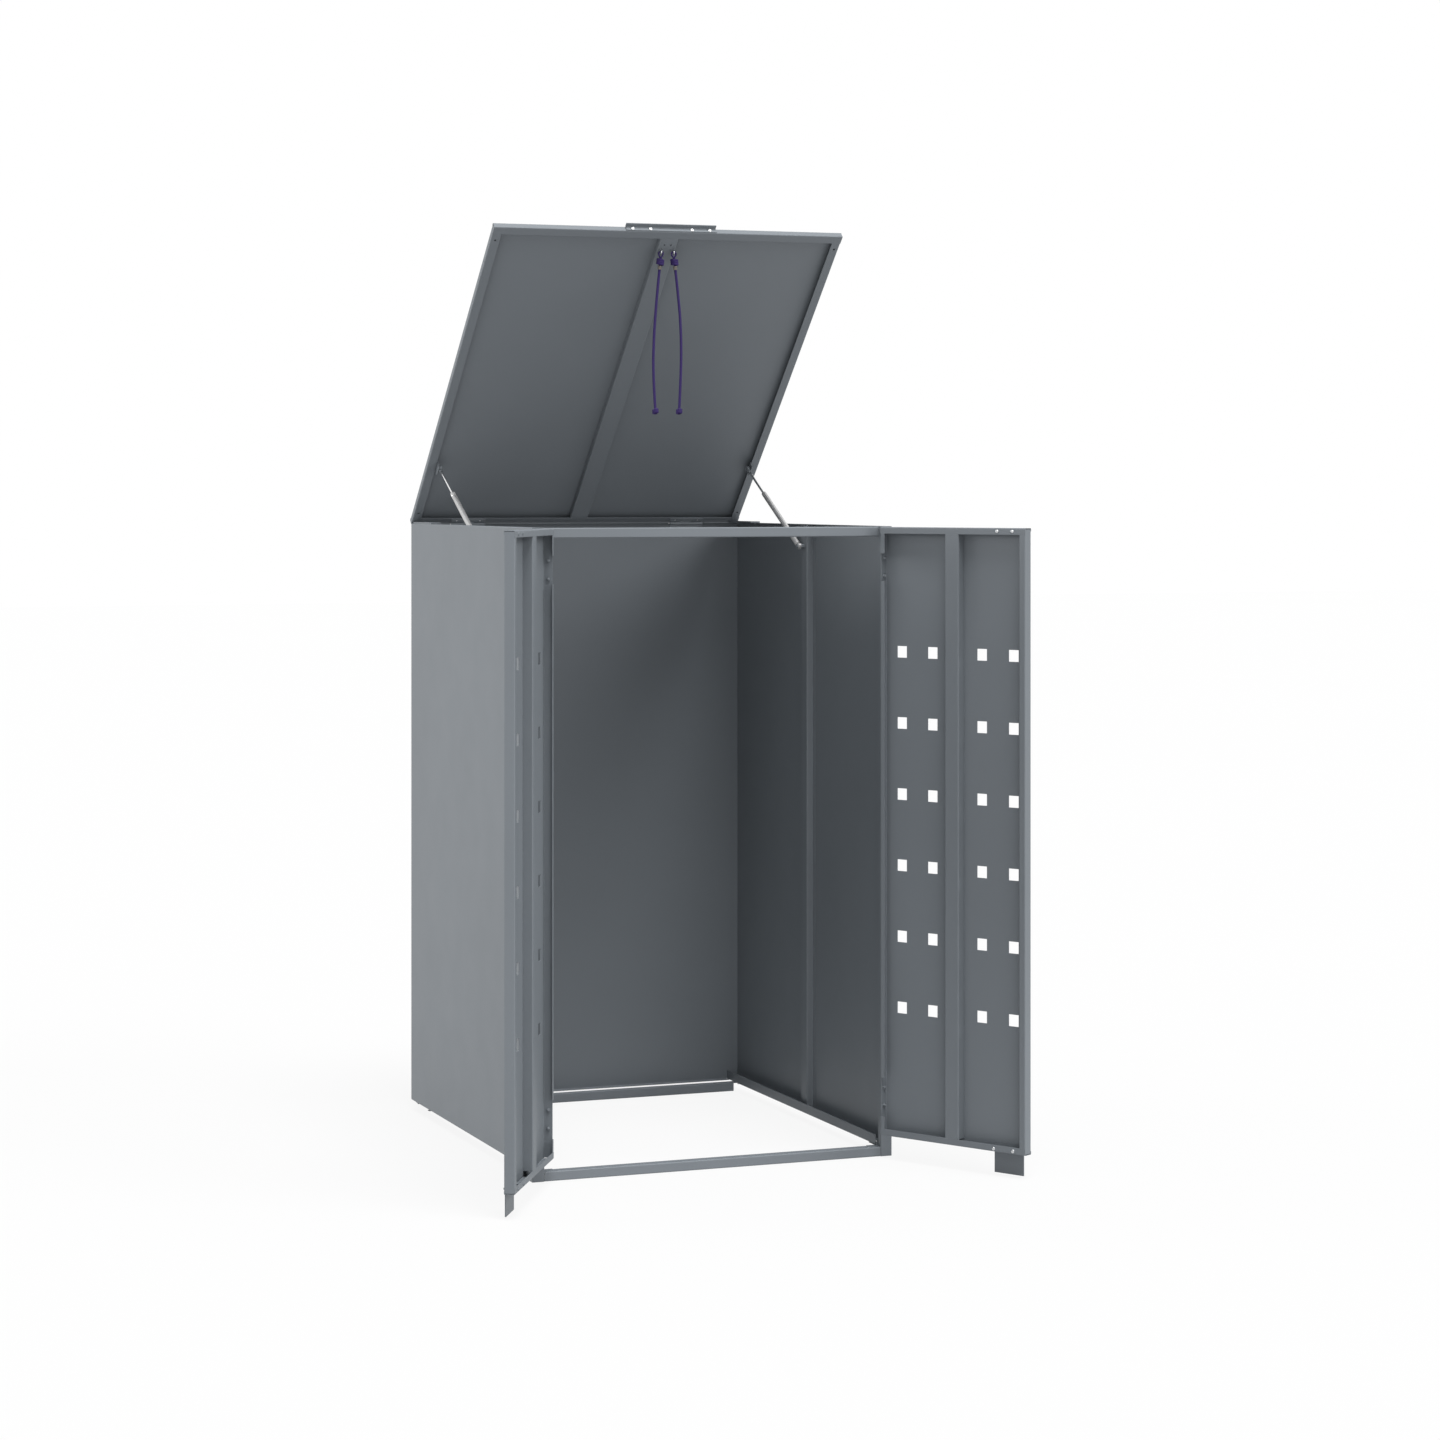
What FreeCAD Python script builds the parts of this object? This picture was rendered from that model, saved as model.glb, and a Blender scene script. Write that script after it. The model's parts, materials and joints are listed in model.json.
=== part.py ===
"""Steel store for one wheelie bin: a folded sheet carcass, two doors and a lid on gas struts.

Millimetres, +X right, +Y back, +Z up.  The origin is on the floor, in the middle of the
underside of the front base rail.  The doors and the lid are drawn closed and then turned
open to the rest position.
"""
import FreeCAD, Part
import math
import os

# Sheet metal, and how far a cutting tool reaches past what it cuts
SHEET = 1.0
BEND = 1.0
LAP_GAP = 0.2
PAST = 1.0

# Carcass
WIDTH = 690.0
DEPTH = 775.0
HEIGHT = 1151.0
GROUND_GAP = 18.4
POST_FACE = 22.6
POST_RETURN = 10.4
POST_FOOT_DEPTH = 19.0
TOP_FLANGE = 12.0
BACK_FLANGE = 20.0
BOTTOM_FLANGE = 25.0
BOTTOM_UPSTAND = 18.0
BAR_HEIGHT = 19.0
BAR_DEPTH = 13.5
BAR_CLEARANCE = 0.5
RAIL_DEPTH = 19.0
RAIL_SETBACK = 0.5
TAB_LENGTH = 30.0
TAB_LAP = 20.0
TAB_CLEARANCE = 1.0
TAB_BOLT_PITCH = 15.0
BACK_RAIL_DEPTH = 12.0
BACK_RAIL_INSET = 29.5
BACK_PANEL_FLANGE = 15.0
SIDE_STIFFENER_WIDTH = 30.0
SIDE_STIFFENER_DEPTH = 13.5
SIDE_STIFFENER_FLANGE = 10.0
CORNER_PLATE_LENGTH = 124.0
CORNER_PLATE_WIDTH = 20.0
CORNER_PLATE_THICK = 3.0
CORNER_PLATE_EDGE = 3.0
CORNER_PLATE_SETBACK = 4.0
CORNER_RIVET_INSET = 15.0

# Doors
DOOR_OPEN = 120.0
DOOR_THICK = 18.8
DOOR_GAP = 4.0
DOOR_BOTTOM = 43.4
DOOR_TOP_GAP = 1.2
DOOR_LIP = 12.0
HINGE_SIDE_LIP = 9.4
DOOR_STIFFENER_WIDTH = 30.0
HOLE = 21.0
HOLE_ROWS = 6
HOLE_PITCH = 129.3
HOLE_FIRST = 276.5
HOLE_COLUMN_INNER = 54.0
HOLE_COLUMN_OUTER = 122.0
STOP_WIDTH = 61.9
STOP_INSET = 15.9
STOP_BOTTOM = 3.1
STOP_LAP = 24.0
STOP_THICK = 2.0
STOP_BOLT_PITCH = 41.0
LIP_BOLT_OFFSET = 5.0
TOP_BOLT_INSET = 27.6
TOP_BOLT_PITCH = 32.4

# Door hinges
HINGE_LENGTH = 50.0
HINGE_LOW = 113.0
HINGE_TOP_DROP = 74.2
NOTCH_LOW = 70.0
NOTCH_HIGH = 50.0
HINGE_BOLT_PITCH = 32.4
LEAF_THICK = 1.5
KNUCKLE_RADIUS = 2.9
PIN_RADIUS = 1.5
PIN_CLEARANCE = 0.05
KNUCKLE_GAP = 0.3
FIXED_LEAF = 14.0
FIXED_LEAF_RIVET = 8.5
PIN_INSET = 18.0
DOOR_LEAF_DEPTH = 16.0

# Lid
LID_OPEN = 44.8
LID_SIDE_INSET = 1.0
LID_SKIRT = 12.3
LID_LIP = 17.0
LID_REST_GAP = 0.3
PIVOT_INSET = 5.2
PIVOT_DROP = 2.0
LID_STIFFENER_WIDTH = 36.0
LID_HINGE_LENGTH = 70.0
LID_HINGE_OFFSET = 230.0
LID_HINGE_RIVET = 24.0
LID_LEAF_HEIGHT = 26.0
LID_LEAF_THICK = 2.0
LID_LEAF_REACH = 11.0
HINGE_NOTCH_GAP = 1.0
HANDLE_WIDTH = 178.0
HANDLE_REACH = 9.0
HANDLE_HEIGHT = 11.0
HANDLE_THICK = 1.5
HANDLE_BOLT_INNER = 41.0
HANDLE_BOLT_OUTER = 76.0
LIP_HOLE_RADIUS = 2.2
LIP_HOLE_FRONT = 32.0
LIP_HOLE_BACK = 31.0
JIG_HOLE_RADIUS = 1.6
JIG_HOLE_X = 6.6
JIG_HOLE_FRONT = 32.0

# Gas struts
STRUT_INSET = 24.5
STRUT_FOOT_DROP = 42.4
STRUT_HEAD_FORWARD = 156.3
STRUT_HEAD_DROP = 1.4
TUBE_RADIUS = 5.0
TUBE_LENGTH = 210.0
TUBE_BORE = 4.0
TUBE_END_WALL = 4.0
GLAND_LENGTH = 12.0
ROD_RADIUS = 2.5
ROD_CLEARANCE = 0.05
STRUT_ROD_LENGTH = 190.0
PISTON_LENGTH = 6.0
PISTON_CLEARANCE = 0.1
EYE_RADIUS = 6.0
EYE_WIDTH = 6.0
EYE_SIDE_GAP = 0.2
STUD_RADIUS = 3.0
STUD_COLLAR = 1.2
STUD_CLIP = 1.5
EYE_CLEARANCE = 0.5
BRACKET_WIDTH = 24.0
BRACKET_THICK = 1.5
BRACKET_GAP = 0.1
BRACKET_RIVET_PITCH = 14.0

# Lifting cords
CORD_RADIUS = 2.5
HOOK_SPACING = 25.0
HOOK_SETBACK = 46.0
HOOK_WIRE = 1.2
HOOK_BEND = 3.0
HOOK_BEND_SHARE = 0.97
HOOK_DROP = 12.0
HOOK_TIP = 3.0
CORD_SEAT = 0.3
CORD_SIDES = 12
CORD_RUN = 64.5
CORD_TILTS_RIGHT = (7.0, 3.5, -0.5, -3.0)
CORD_TILTS_LEFT = (6.0, 4.0, 1.5, -4.0)
ARC_SHARE = 0.45
KNOT_NECK = 6.0
KNOT_RADIUS = 8.0
BEAD_CORE = 0.45
END_KNOT_RADIUS = 6.5
FERRULE_RADIUS = 4.0
FERRULE_LENGTH = 7.0

# Fasteners
BOLT_RADIUS = 2.5
SMALL_BOLT_RADIUS = 2.0
HEAD_SHARE = 1.6
HEAD_HEIGHT_SHARE = 0.8
HEAD_TAPER = 0.6
HEAD_SIDES = 8
NUT_SHARE = 1.55
NUT_HEIGHT_SHARE = 1.2
THREAD_END = 2.0
HOLE_CLEARANCE = 0.1
RIVET_RADIUS = 1.6
RIVET_HEAD = 0.8

# Places worked out from the sizes above
FOLD = BEND + SHEET
FOLD_LAP = 3 * FOLD
FRONT = -RAIL_SETBACK - RAIL_DEPTH / 2
BACK = FRONT + DEPTH
MIDDLE = FRONT + DEPTH / 2
SIDE = WIDTH / 2
SIDE_INNER = SIDE - SHEET
BACK_OUTER = BACK - SHEET
RAIL_HEIGHT = GROUND_GAP - LAP_GAP - SHEET
RAIL_FRONT = FRONT + RAIL_SETBACK
RAIL_BACK = RAIL_FRONT + RAIL_DEPTH
BACK_RAIL_FRONT = BACK - BACK_RAIL_INSET - BACK_RAIL_DEPTH
POST_EDGE = SIDE - POST_FACE
UPSTAND_X = SIDE - BOTTOM_FLANGE
TOP_FLANGE_X = SIDE - TOP_FLANGE
STIFFENER_FACE = SIDE_INNER - SIDE_STIFFENER_DEPTH
DOOR_HINGE_X = POST_EDGE - DOOR_GAP
DOOR_FREE_X = DOOR_GAP / 2
DOOR_TOP = HEIGHT - DOOR_TOP_GAP
DOOR_INNER = FRONT + DOOR_THICK
HINGE_CENTRES = (HINGE_LOW, HEIGHT - HINGE_TOP_DROP)
PIN_X = SIDE - PIN_INSET
PIN_Y = FRONT - KNUCKLE_RADIUS
LID_LIP_Z = HEIGHT + CORNER_PLATE_THICK + LID_REST_GAP
LID_TOP = LID_LIP_Z + LID_SKIRT
LID_SIDE = SIDE - LID_SIDE_INSET
PIVOT_Y = BACK - PIVOT_INSET
PIVOT_Z = HEIGHT - PIVOT_DROP
CORNER_BACK = BACK - CORNER_PLATE_SETBACK
HOOK_Y = FRONT + HOOK_SETBACK
STRUT_X = SIDE - STRUT_INSET
STRUT_FOOT_Z = HEIGHT - STRUT_FOOT_DROP

X_AXIS = FreeCAD.Vector(1, 0, 0)
Y_AXIS = FreeCAD.Vector(0, 1, 0)
Z_AXIS = FreeCAD.Vector(0, 0, 1)
LEFT = 1
RIGHT = -1


# General shapes

def box(x0, x1, y0, y1, z0, z1):
    """Block between two corners."""
    return Part.makeBox(x1 - x0, y1 - y0, z1 - z0, FreeCAD.Vector(x0, y0, z0))


def rod(start, end, radius):
    """Round bar from one point to another."""
    first = FreeCAD.Vector(*start)
    way = FreeCAD.Vector(*end) - first
    return Part.makeCylinder(radius, way.Length, first, way)


def fuse(shapes):
    """Join touching pieces of one part into one clean solid."""
    return shapes[0].multiFuse(shapes[1:]).removeSplitter()


def mirrored(shape):
    """The same shape on the other side of the centre plane."""
    return shape.mirror(FreeCAD.Vector(0, 0, 0), X_AXIS)


def turned(shape, centre, axis, degrees):
    """A copy turned about an axis through a point."""
    copy = shape.copy()
    copy.rotate(FreeCAD.Vector(*centre), axis, degrees)
    return copy


def corner_turn(before, corner, after):
    """Unit ways from a corner to its two neighbours, and the angle that the path turns there."""
    back = (before - corner).normalize()
    ahead = (after - corner).normalize()
    return back, ahead, math.pi - back.getAngle(ahead)


def rounded(points, radii):
    """Edges of a path: straight runs joined by tangent arcs, one radius for each inner point."""
    edges = []
    last = points[0]
    for before, corner, after, radius in zip(points, points[1:], points[2:], radii):
        back, ahead, turn = corner_turn(before, corner, after)
        reach = radius * math.tan(turn / 2)
        start = corner + back * reach
        end = corner + ahead * reach
        middle = corner + (back + ahead).normalize() * (radius / math.cos(turn / 2) - radius)
        edges.append(Part.LineSegment(last, start).toShape())
        edges.append(Part.Arc(start, middle, end).toShape())
        last = end
    edges.append(Part.LineSegment(last, points[-1]).toShape())
    return edges


def placed(along, a, b, level):
    """Point of a profile drawn across an axis: (x, y), (x, z) or (y, z), and its level on the axis."""
    if along == "z":
        return FreeCAD.Vector(a, b, level)
    if along == "y":
        return FreeCAD.Vector(a, level, b)
    return FreeCAD.Vector(level, a, b)


def folded(bends, along, low, high, side, thick=SHEET):
    """Sheet folded along a line of square corners and drawn out along an axis from low to high.

    The line lies on one face of the sheet, and the sheet is on its left or right side.
    """
    ways = []
    for (a0, b0), (a1, b1) in zip(bends, bends[1:]):
        length = math.hypot(a1 - a0, b1 - b0)
        ways.append(((a1 - a0) / length, (b1 - b0) / length))
    normals = [(-side * b, side * a) for a, b in ways]
    shifts = [normals[0]]
    line_radii = []
    for first, second, normal, after in zip(ways, ways[1:], normals, normals[1:]):
        shifts.append((normal[0] + after[0], normal[1] + after[1]))
        turns_in = side * (first[0] * second[1] - first[1] * second[0]) > 0
        line_radii.append(BEND + thick if turns_in else BEND)
    shifts.append(normals[-1])
    other_radii = [2 * BEND + thick - radius for radius in line_radii]
    line = [placed(along, a, b, low) for a, b in bends]
    other = [placed(along, a + da * thick, b + db * thick, low)
             for (a, b), (da, db) in zip(bends, shifts)]
    edges = rounded(line, line_radii)
    edges.append(Part.LineSegment(line[-1], other[-1]).toShape())
    edges += rounded(other[::-1], other_radii[::-1])
    edges.append(Part.LineSegment(other[0], line[0]).toShape())
    return Part.Face(Part.Wire(edges)).extrude(placed(along, 0, 0, high - low))


def corners(centre, along, radius, sides):
    """Corners of a regular polygon square to a way, the first one again at the end."""
    across = along.cross(Y_AXIS if abs(along.y) < 0.5 else X_AXIS).normalize()
    turn = FreeCAD.Rotation(along, 360 / sides)
    points = [across * radius]
    for _ in range(sides - 1):
        points.append(turn.multVec(points[-1]))
    return [centre + point for point in points + points[:1]]


def flat(points):
    """Flat face inside a closed line of corners."""
    return Part.Face(Part.makePolygon(points))


def stacked(rings):
    """Solid between rings of corners, each joined to the next by flat faces."""
    faces = [flat(rings[0]), flat(rings[-1])]
    for low, high in zip(rings, rings[1:]):
        for a, b, c, d in zip(low, low[1:], high[1:], high):
            faces.append(flat([a, b, c, d, a]))
    return Part.Solid(Part.Shell(faces))


# Fasteners

def hexagon_bar(base, along, radius, length):
    """Hexagonal bar standing on base."""
    return flat(corners(base, along, radius, 6)).extrude(along * length)


def pan_head(base, along, shank_radius, height):
    """Tapered head on the near side of its seat."""
    radius = shank_radius * HEAD_SHARE
    return stacked([corners(base, along, radius, HEAD_SIDES),
                    corners(base - along * height, along, radius * HEAD_TAPER, HEAD_SIDES)])


def bolt(seat, direction, grip, radius=BOLT_RADIUS):
    """Bolt with its pan head on seat, its shank through the grip, a nut and a threaded end."""
    base = FreeCAD.Vector(*seat)
    along = FreeCAD.Vector(*direction)
    nut_height = radius * NUT_HEIGHT_SHARE
    head = pan_head(base, along, radius, radius * HEAD_HEIGHT_SHARE)
    shank = hexagon_bar(base, along, radius, grip + nut_height + THREAD_END)
    return fuse([head, shank, hexagon_bar(base + along * grip, along, radius * NUT_SHARE, nut_height)])


def rivet(seat, direction, grip):
    """Rivet with its head on seat and its shank flush with the far face of the grip."""
    base = FreeCAD.Vector(*seat)
    along = FreeCAD.Vector(*direction)
    return fuse([pan_head(base, along, RIVET_RADIUS, RIVET_HEAD),
                 hexagon_bar(base, along, RIVET_RADIUS, grip)])


def bored(shape, seats, direction, grip, radius):
    """A shape with a clearance hole for each fastener, from just before its seat to past the grip."""
    along = FreeCAD.Vector(*direction)
    tools = []
    for seat in seats:
        start = FreeCAD.Vector(*seat) - along * PAST
        tools.append(hexagon_bar(start, along, radius + HOLE_CLEARANCE, grip + 2 * PAST))
    return shape.cut(tools)


# Carcass

def side_panel():
    """Right side: post, skin and back flange in one bend line, with folded top and bottom edges."""
    wrap = folded([(POST_EDGE, FRONT + POST_RETURN), (POST_EDGE, FRONT), (SIDE, FRONT),
                   (SIDE, BACK), (SIDE - BACK_FLANGE, BACK)], "z", 0, HEIGHT, LEFT)
    top_front = FRONT + FOLD
    top_back = BACK - FOLD
    low_front = FRONT + POST_FOOT_DEPTH
    low_back = BACK_OUTER - SHEET - LAP_GAP
    above = box(SIDE_INNER - BEND, SIDE + PAST, top_front, top_back, HEIGHT - FOLD, HEIGHT + PAST)
    below = box(SIDE - BACK_FLANGE - PAST, SIDE + PAST, low_front, BACK + PAST, -PAST,
                GROUND_GAP + FOLD)
    top = folded([(SIDE, HEIGHT - FOLD_LAP), (SIDE, HEIGHT), (TOP_FLANGE_X, HEIGHT)],
                 "y", top_front, top_back, LEFT)
    bottom = folded([(SIDE, GROUND_GAP + FOLD_LAP), (SIDE, GROUND_GAP), (UPSTAND_X, GROUND_GAP),
                     (UPSTAND_X, GROUND_GAP + BOTTOM_UPSTAND)], "y", low_front, low_back, RIGHT)
    panel = fuse([wrap.cut([above, below]), top, bottom])
    panel = bored(panel, rail_bolt_seats(), (0, 0, -1), SHEET, BOLT_RADIUS)
    panel = bored(panel, corner_rivet_seats(), (0, 0, 1), SHEET, RIVET_RADIUS)
    return bored(panel, fixed_leaf_seats(), (0, 1, 0), LEAF_THICK + SHEET, RIVET_RADIUS)


def rail_bolt_seats():
    """Heads of the bolts that hold the base rails under the right bottom flange."""
    x = (UPSTAND_X + SIDE) / 2
    z = GROUND_GAP + SHEET
    tab_middle = RAIL_BACK + TAB_LENGTH / 2
    half = TAB_BOLT_PITCH / 2
    ys = (tab_middle - half, tab_middle + half, BACK_RAIL_FRONT + BACK_RAIL_DEPTH / 2)
    return [(x, y, z) for y in ys]


def side_stiffener():
    """Hat-shaped stiffener up the middle of the right side's inner face."""
    half = SIDE_STIFFENER_WIDTH / 2
    wing = half + SIDE_STIFFENER_FLANGE
    low = SIDE_INNER - SHEET
    top = STIFFENER_FACE
    hat = folded([(low, MIDDLE - wing), (low, MIDDLE - half), (top, MIDDLE - half),
                  (top, MIDDLE + half), (low, MIDDLE + half), (low, MIDDLE + wing)],
                 "z", GROUND_GAP + FOLD, HEIGHT - FOLD, RIGHT)
    stud_hole = rod((top - PAST, MIDDLE, STRUT_FOOT_Z), (top + FOLD, MIDDLE, STRUT_FOOT_Z),
                    STUD_RADIUS + HOLE_CLEARANCE)
    return hat.cut(stud_hole)


def back_panel():
    """Back skin behind the side flanges, with folded top and bottom edges between the sides."""
    inner = BACK_OUTER - BACK_PANEL_FLANGE
    half = SIDE - FOLD - LAP_GAP
    skin = folded([(inner, GROUND_GAP), (BACK_OUTER, GROUND_GAP), (BACK_OUTER, HEIGHT),
                   (inner, HEIGHT)], "x", -half, half, LEFT)
    tools = []
    for side in (-1, 1):
        for near, low, high in ((TOP_FLANGE_X, HEIGHT - FOLD, HEIGHT + PAST),
                                (UPSTAND_X, 0, GROUND_GAP + FOLD)):
            x0, x1 = sorted((side * (near - LAP_GAP), side * SIDE))
            tools.append(box(x0, x1, inner - PAST, BACK, low, high))
        x0 = side * LID_HINGE_OFFSET - LID_HINGE_LENGTH / 2 - HINGE_NOTCH_GAP
        x1 = x0 + LID_HINGE_LENGTH + 2 * HINGE_NOTCH_GAP
        tools.append(box(x0, x1, inner - PAST, BACK, HEIGHT - FOLD, HEIGHT + PAST))
    return bored(skin.cut(tools), back_leaf_seats(), (0, -1, 0), SHEET, RIVET_RADIUS)


def front_top_bar():
    """Channel across the top of the doorway, which the doors close against."""
    front = DOOR_INNER + SMALL_BOLT_RADIUS * HEAD_HEIGHT_SHARE + BAR_CLEARANCE
    back = front + BAR_DEPTH
    top = HEIGHT - SHEET
    low = HEIGHT - BAR_HEIGHT
    return folded([(back, low), (front, low), (front, top), (back, top)],
                  "x", FOLD - SIDE, SIDE - FOLD, RIGHT)


def base_rail(front, depth, height, reach):
    """Channel on the floor, open to the back."""
    return folded([(front + depth, 0), (front, 0), (front, height), (front + depth, height)],
                  "x", -reach, reach, RIGHT)


def front_base_rail():
    """Rail between the posts, with a flat tab at each end that lies under the side's flange."""
    pieces = [base_rail(RAIL_FRONT, RAIL_DEPTH, RAIL_HEIGHT, POST_EDGE)]
    start = FRONT + POST_RETURN + TAB_CLEARANCE
    outer = SIDE_INNER - TAB_CLEARANCE
    top = RAIL_HEIGHT + SHEET
    lap = box(POST_EDGE - TAB_LAP, outer, start, RAIL_BACK, RAIL_HEIGHT, top)
    tongue = box(UPSTAND_X, outer, start, RAIL_BACK + TAB_LENGTH, RAIL_HEIGHT, top)
    for piece in (lap, tongue):
        pieces += [piece, mirrored(piece)]
    return rail_bored(fuse(pieces))


def back_base_rail():
    """Rail across the floor near the back, under both side flanges."""
    height = GROUND_GAP - LAP_GAP
    return rail_bored(base_rail(BACK_RAIL_FRONT, BACK_RAIL_DEPTH, height, SIDE_INNER - TAB_CLEARANCE))


def rail_bored(rail):
    """A rail with the holes of its bolts at both ends."""
    seats = [(side * x, y, z) for x, y, z in rail_bolt_seats() for side in (-1, 1)]
    return bored(rail, seats, (0, 0, -1), LAP_GAP + 2 * SHEET, BOLT_RADIUS)


def corner_plate():
    """Flat plate on the right top flange at the back, which the lid rests on."""
    outer = SIDE - CORNER_PLATE_EDGE
    plate = box(outer - CORNER_PLATE_WIDTH, outer, CORNER_BACK - CORNER_PLATE_LENGTH, CORNER_BACK,
                HEIGHT, HEIGHT + CORNER_PLATE_THICK)
    return bored(plate, corner_rivet_seats(), (0, 0, 1), SHEET + CORNER_PLATE_THICK, RIVET_RADIUS)


def corner_rivet_seats():
    """Heads of the rivets under the right top flange that hold the corner plate."""
    x = SIDE - TOP_FLANGE / 2 - SHEET
    first = CORNER_BACK - CORNER_PLATE_LENGTH + CORNER_RIVET_INSET
    return [(x, y, HEIGHT - SHEET) for y in (first, CORNER_BACK - CORNER_RIVET_INSET)]


# Doors

def door_panel():
    """Right door: perforated skin with side walls and lips in one bend line, folded ends."""
    x0, x1 = DOOR_FREE_X, DOOR_HINGE_X
    z0, z1 = DOOR_BOTTOM, DOOR_TOP
    body = folded([(x0 + DOOR_LIP, DOOR_INNER), (x0, DOOR_INNER), (x0, FRONT), (x1, FRONT),
                   (x1, DOOR_INNER), (x1 - HINGE_SIDE_LIP, DOOR_INNER)], "z", z0 + FOLD, z1 - FOLD, LEFT)
    top = folded([(DOOR_INNER, z1 - DOOR_LIP), (DOOR_INNER, z1), (FRONT, z1), (FRONT, z1 - FOLD_LAP)],
                 "x", x0, x1, LEFT)
    bottom = folded([(DOOR_INNER, z0 + DOOR_LIP), (DOOR_INNER, z0), (FRONT, z0), (FRONT, z0 + FOLD_LAP)],
                    "x", x0, x1, RIGHT)
    tools = []
    for centre, notch in zip(HINGE_CENTRES, (NOTCH_LOW, NOTCH_HIGH)):
        tools.append(box(x1 - HINGE_SIDE_LIP - PAST, x1 + PAST, DOOR_INNER - FOLD, DOOR_INNER + PAST,
                         centre - notch / 2, centre + notch / 2))
    middle = (x0 + x1) / 2
    offsets = (-HOLE_COLUMN_OUTER, -HOLE_COLUMN_INNER, HOLE_COLUMN_INNER, HOLE_COLUMN_OUTER)
    for row in range(HOLE_ROWS):
        z = HOLE_FIRST + row * HOLE_PITCH
        for x in [middle + offset for offset in offsets]:
            tools.append(box(x - HOLE / 2, x + HOLE / 2, FRONT - PAST, FRONT + FOLD,
                             z - HOLE / 2, z + HOLE / 2))
    panel = fuse([body, top, bottom]).cut(tools)
    panel = bored(panel, stop_bolt_seats() + top_bolt_seats(), (0, -1, 0), SHEET, SMALL_BOLT_RADIUS)
    panel = bored(panel, stop_bolt_seats(), (0, -1, 0), DOOR_THICK, SMALL_BOLT_RADIUS)
    return bored(panel, hinge_bolt_seats(), (-1, 0, 0), LEAF_THICK + SHEET, SMALL_BOLT_RADIUS)


def stop_bolt_seats():
    """Heads of the two bolts through the foot of the right door."""
    middle = DOOR_FREE_X + STOP_INSET + STOP_WIDTH / 2
    half = STOP_BOLT_PITCH / 2
    return [(x, DOOR_INNER, DOOR_BOTTOM + LIP_BOLT_OFFSET) for x in (middle - half, middle + half)]


def top_bolt_seats():
    """Heads of the two bolts in the right door's top lip."""
    first = DOOR_FREE_X + TOP_BOLT_INSET
    return [(x, DOOR_INNER, DOOR_TOP - DOOR_LIP / 2) for x in (first, first + TOP_BOLT_PITCH)]


def hinge_bolt_seats():
    """Heads of the bolts that hold the door leaves to the right door's edge."""
    half = HINGE_BOLT_PITCH / 2
    return [(DOOR_HINGE_X + LEAF_THICK, FRONT + DOOR_THICK / 2, centre + shift)
            for centre in HINGE_CENTRES for shift in (-half, half)]


def door_stiffener():
    """Channel up the middle of the right door, with its open side on the skin."""
    middle = (DOOR_FREE_X + DOOR_HINGE_X) / 2
    half = DOOR_STIFFENER_WIDTH / 2
    skin = FRONT + SHEET
    return folded([(middle - half, skin), (middle - half, DOOR_INNER), (middle + half, DOOR_INNER),
                   (middle + half, skin)], "z", DOOR_BOTTOM + DOOR_LIP, DOOR_TOP - DOOR_LIP, RIGHT)


def stop_plate():
    """Plate on the outside of the right door's foot, which stops it against the base rail."""
    x0 = DOOR_FREE_X + STOP_INSET
    plate = box(x0, x0 + STOP_WIDTH, FRONT - STOP_THICK, FRONT, STOP_BOTTOM, DOOR_BOTTOM + STOP_LAP)
    return bored(plate, stop_bolt_seats(), (0, -1, 0), DOOR_THICK + STOP_THICK, SMALL_BOLT_RADIUS)


def door_bolts():
    """Bolts through the right door's foot and top lip."""
    through = DOOR_THICK + STOP_THICK
    bolts = [bolt(seat, (0, -1, 0), through, SMALL_BOLT_RADIUS) for seat in stop_bolt_seats()]
    bolts += [bolt(seat, (0, -1, 0), SHEET, SMALL_BOLT_RADIUS) for seat in top_bolt_seats()]
    return bolts


def hinge_bolts():
    """Bolts through the door leaves and the right door's edge."""
    return [bolt(seat, (-1, 0, 0), LEAF_THICK + SHEET, SMALL_BOLT_RADIUS) for seat in hinge_bolt_seats()]


def barrel(low, centre_line, length, outer):
    """Hinge barrel along a line: its two outer knuckles, or the middle one with a gap at each end."""
    third = length / 3
    if outer:
        spans = [(low, low + third), (low + 2 * third, low + length)]
    else:
        spans = [(low + third + KNUCKLE_GAP, low + 2 * third - KNUCKLE_GAP)]
    return [rod(centre_line(a), centre_line(b), KNUCKLE_RADIUS) for a, b in spans]


def door_axis(z):
    """Point of the right door's hinge line."""
    return PIN_X, PIN_Y, z


def lid_axis(x):
    """Point of the lid's hinge line."""
    return x, PIVOT_Y, PIVOT_Z


def pin_hole(low, high, centre_line):
    """Tool that bores a whole barrel for its pin."""
    return rod(centre_line(low - PAST), centre_line(high + PAST), PIN_RADIUS + PIN_CLEARANCE)


def fixed_leaf(centre):
    """Leaf on the right post's face with the two outer knuckles."""
    low, high = centre - HINGE_LENGTH / 2, centre + HINGE_LENGTH / 2
    third = HINGE_LENGTH / 3
    plate = box(PIN_X, PIN_X + FIXED_LEAF, FRONT - LEAF_THICK, FRONT, low, high)
    leaf = fuse([plate] + barrel(low, door_axis, HINGE_LENGTH, True))
    room = box(PIN_X - KNUCKLE_RADIUS - PAST, PIN_X + KNUCKLE_RADIUS + KNUCKLE_GAP,
               PIN_Y - KNUCKLE_RADIUS - PAST, FRONT, low + third, high - third)
    leaf = leaf.cut([room, pin_hole(low, high, door_axis)])
    return bored(leaf, fixed_leaf_seats(), (0, 1, 0), LEAF_THICK + SHEET, RIVET_RADIUS)


def fixed_leaf_seats():
    """Heads of the rivets that hold the fixed leaves to the right post."""
    half = HINGE_BOLT_PITCH / 2
    return [(PIN_X + FIXED_LEAF_RIVET, FRONT - LEAF_THICK, centre + shift)
            for centre in HINGE_CENTRES for shift in (-half, half)]


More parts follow.
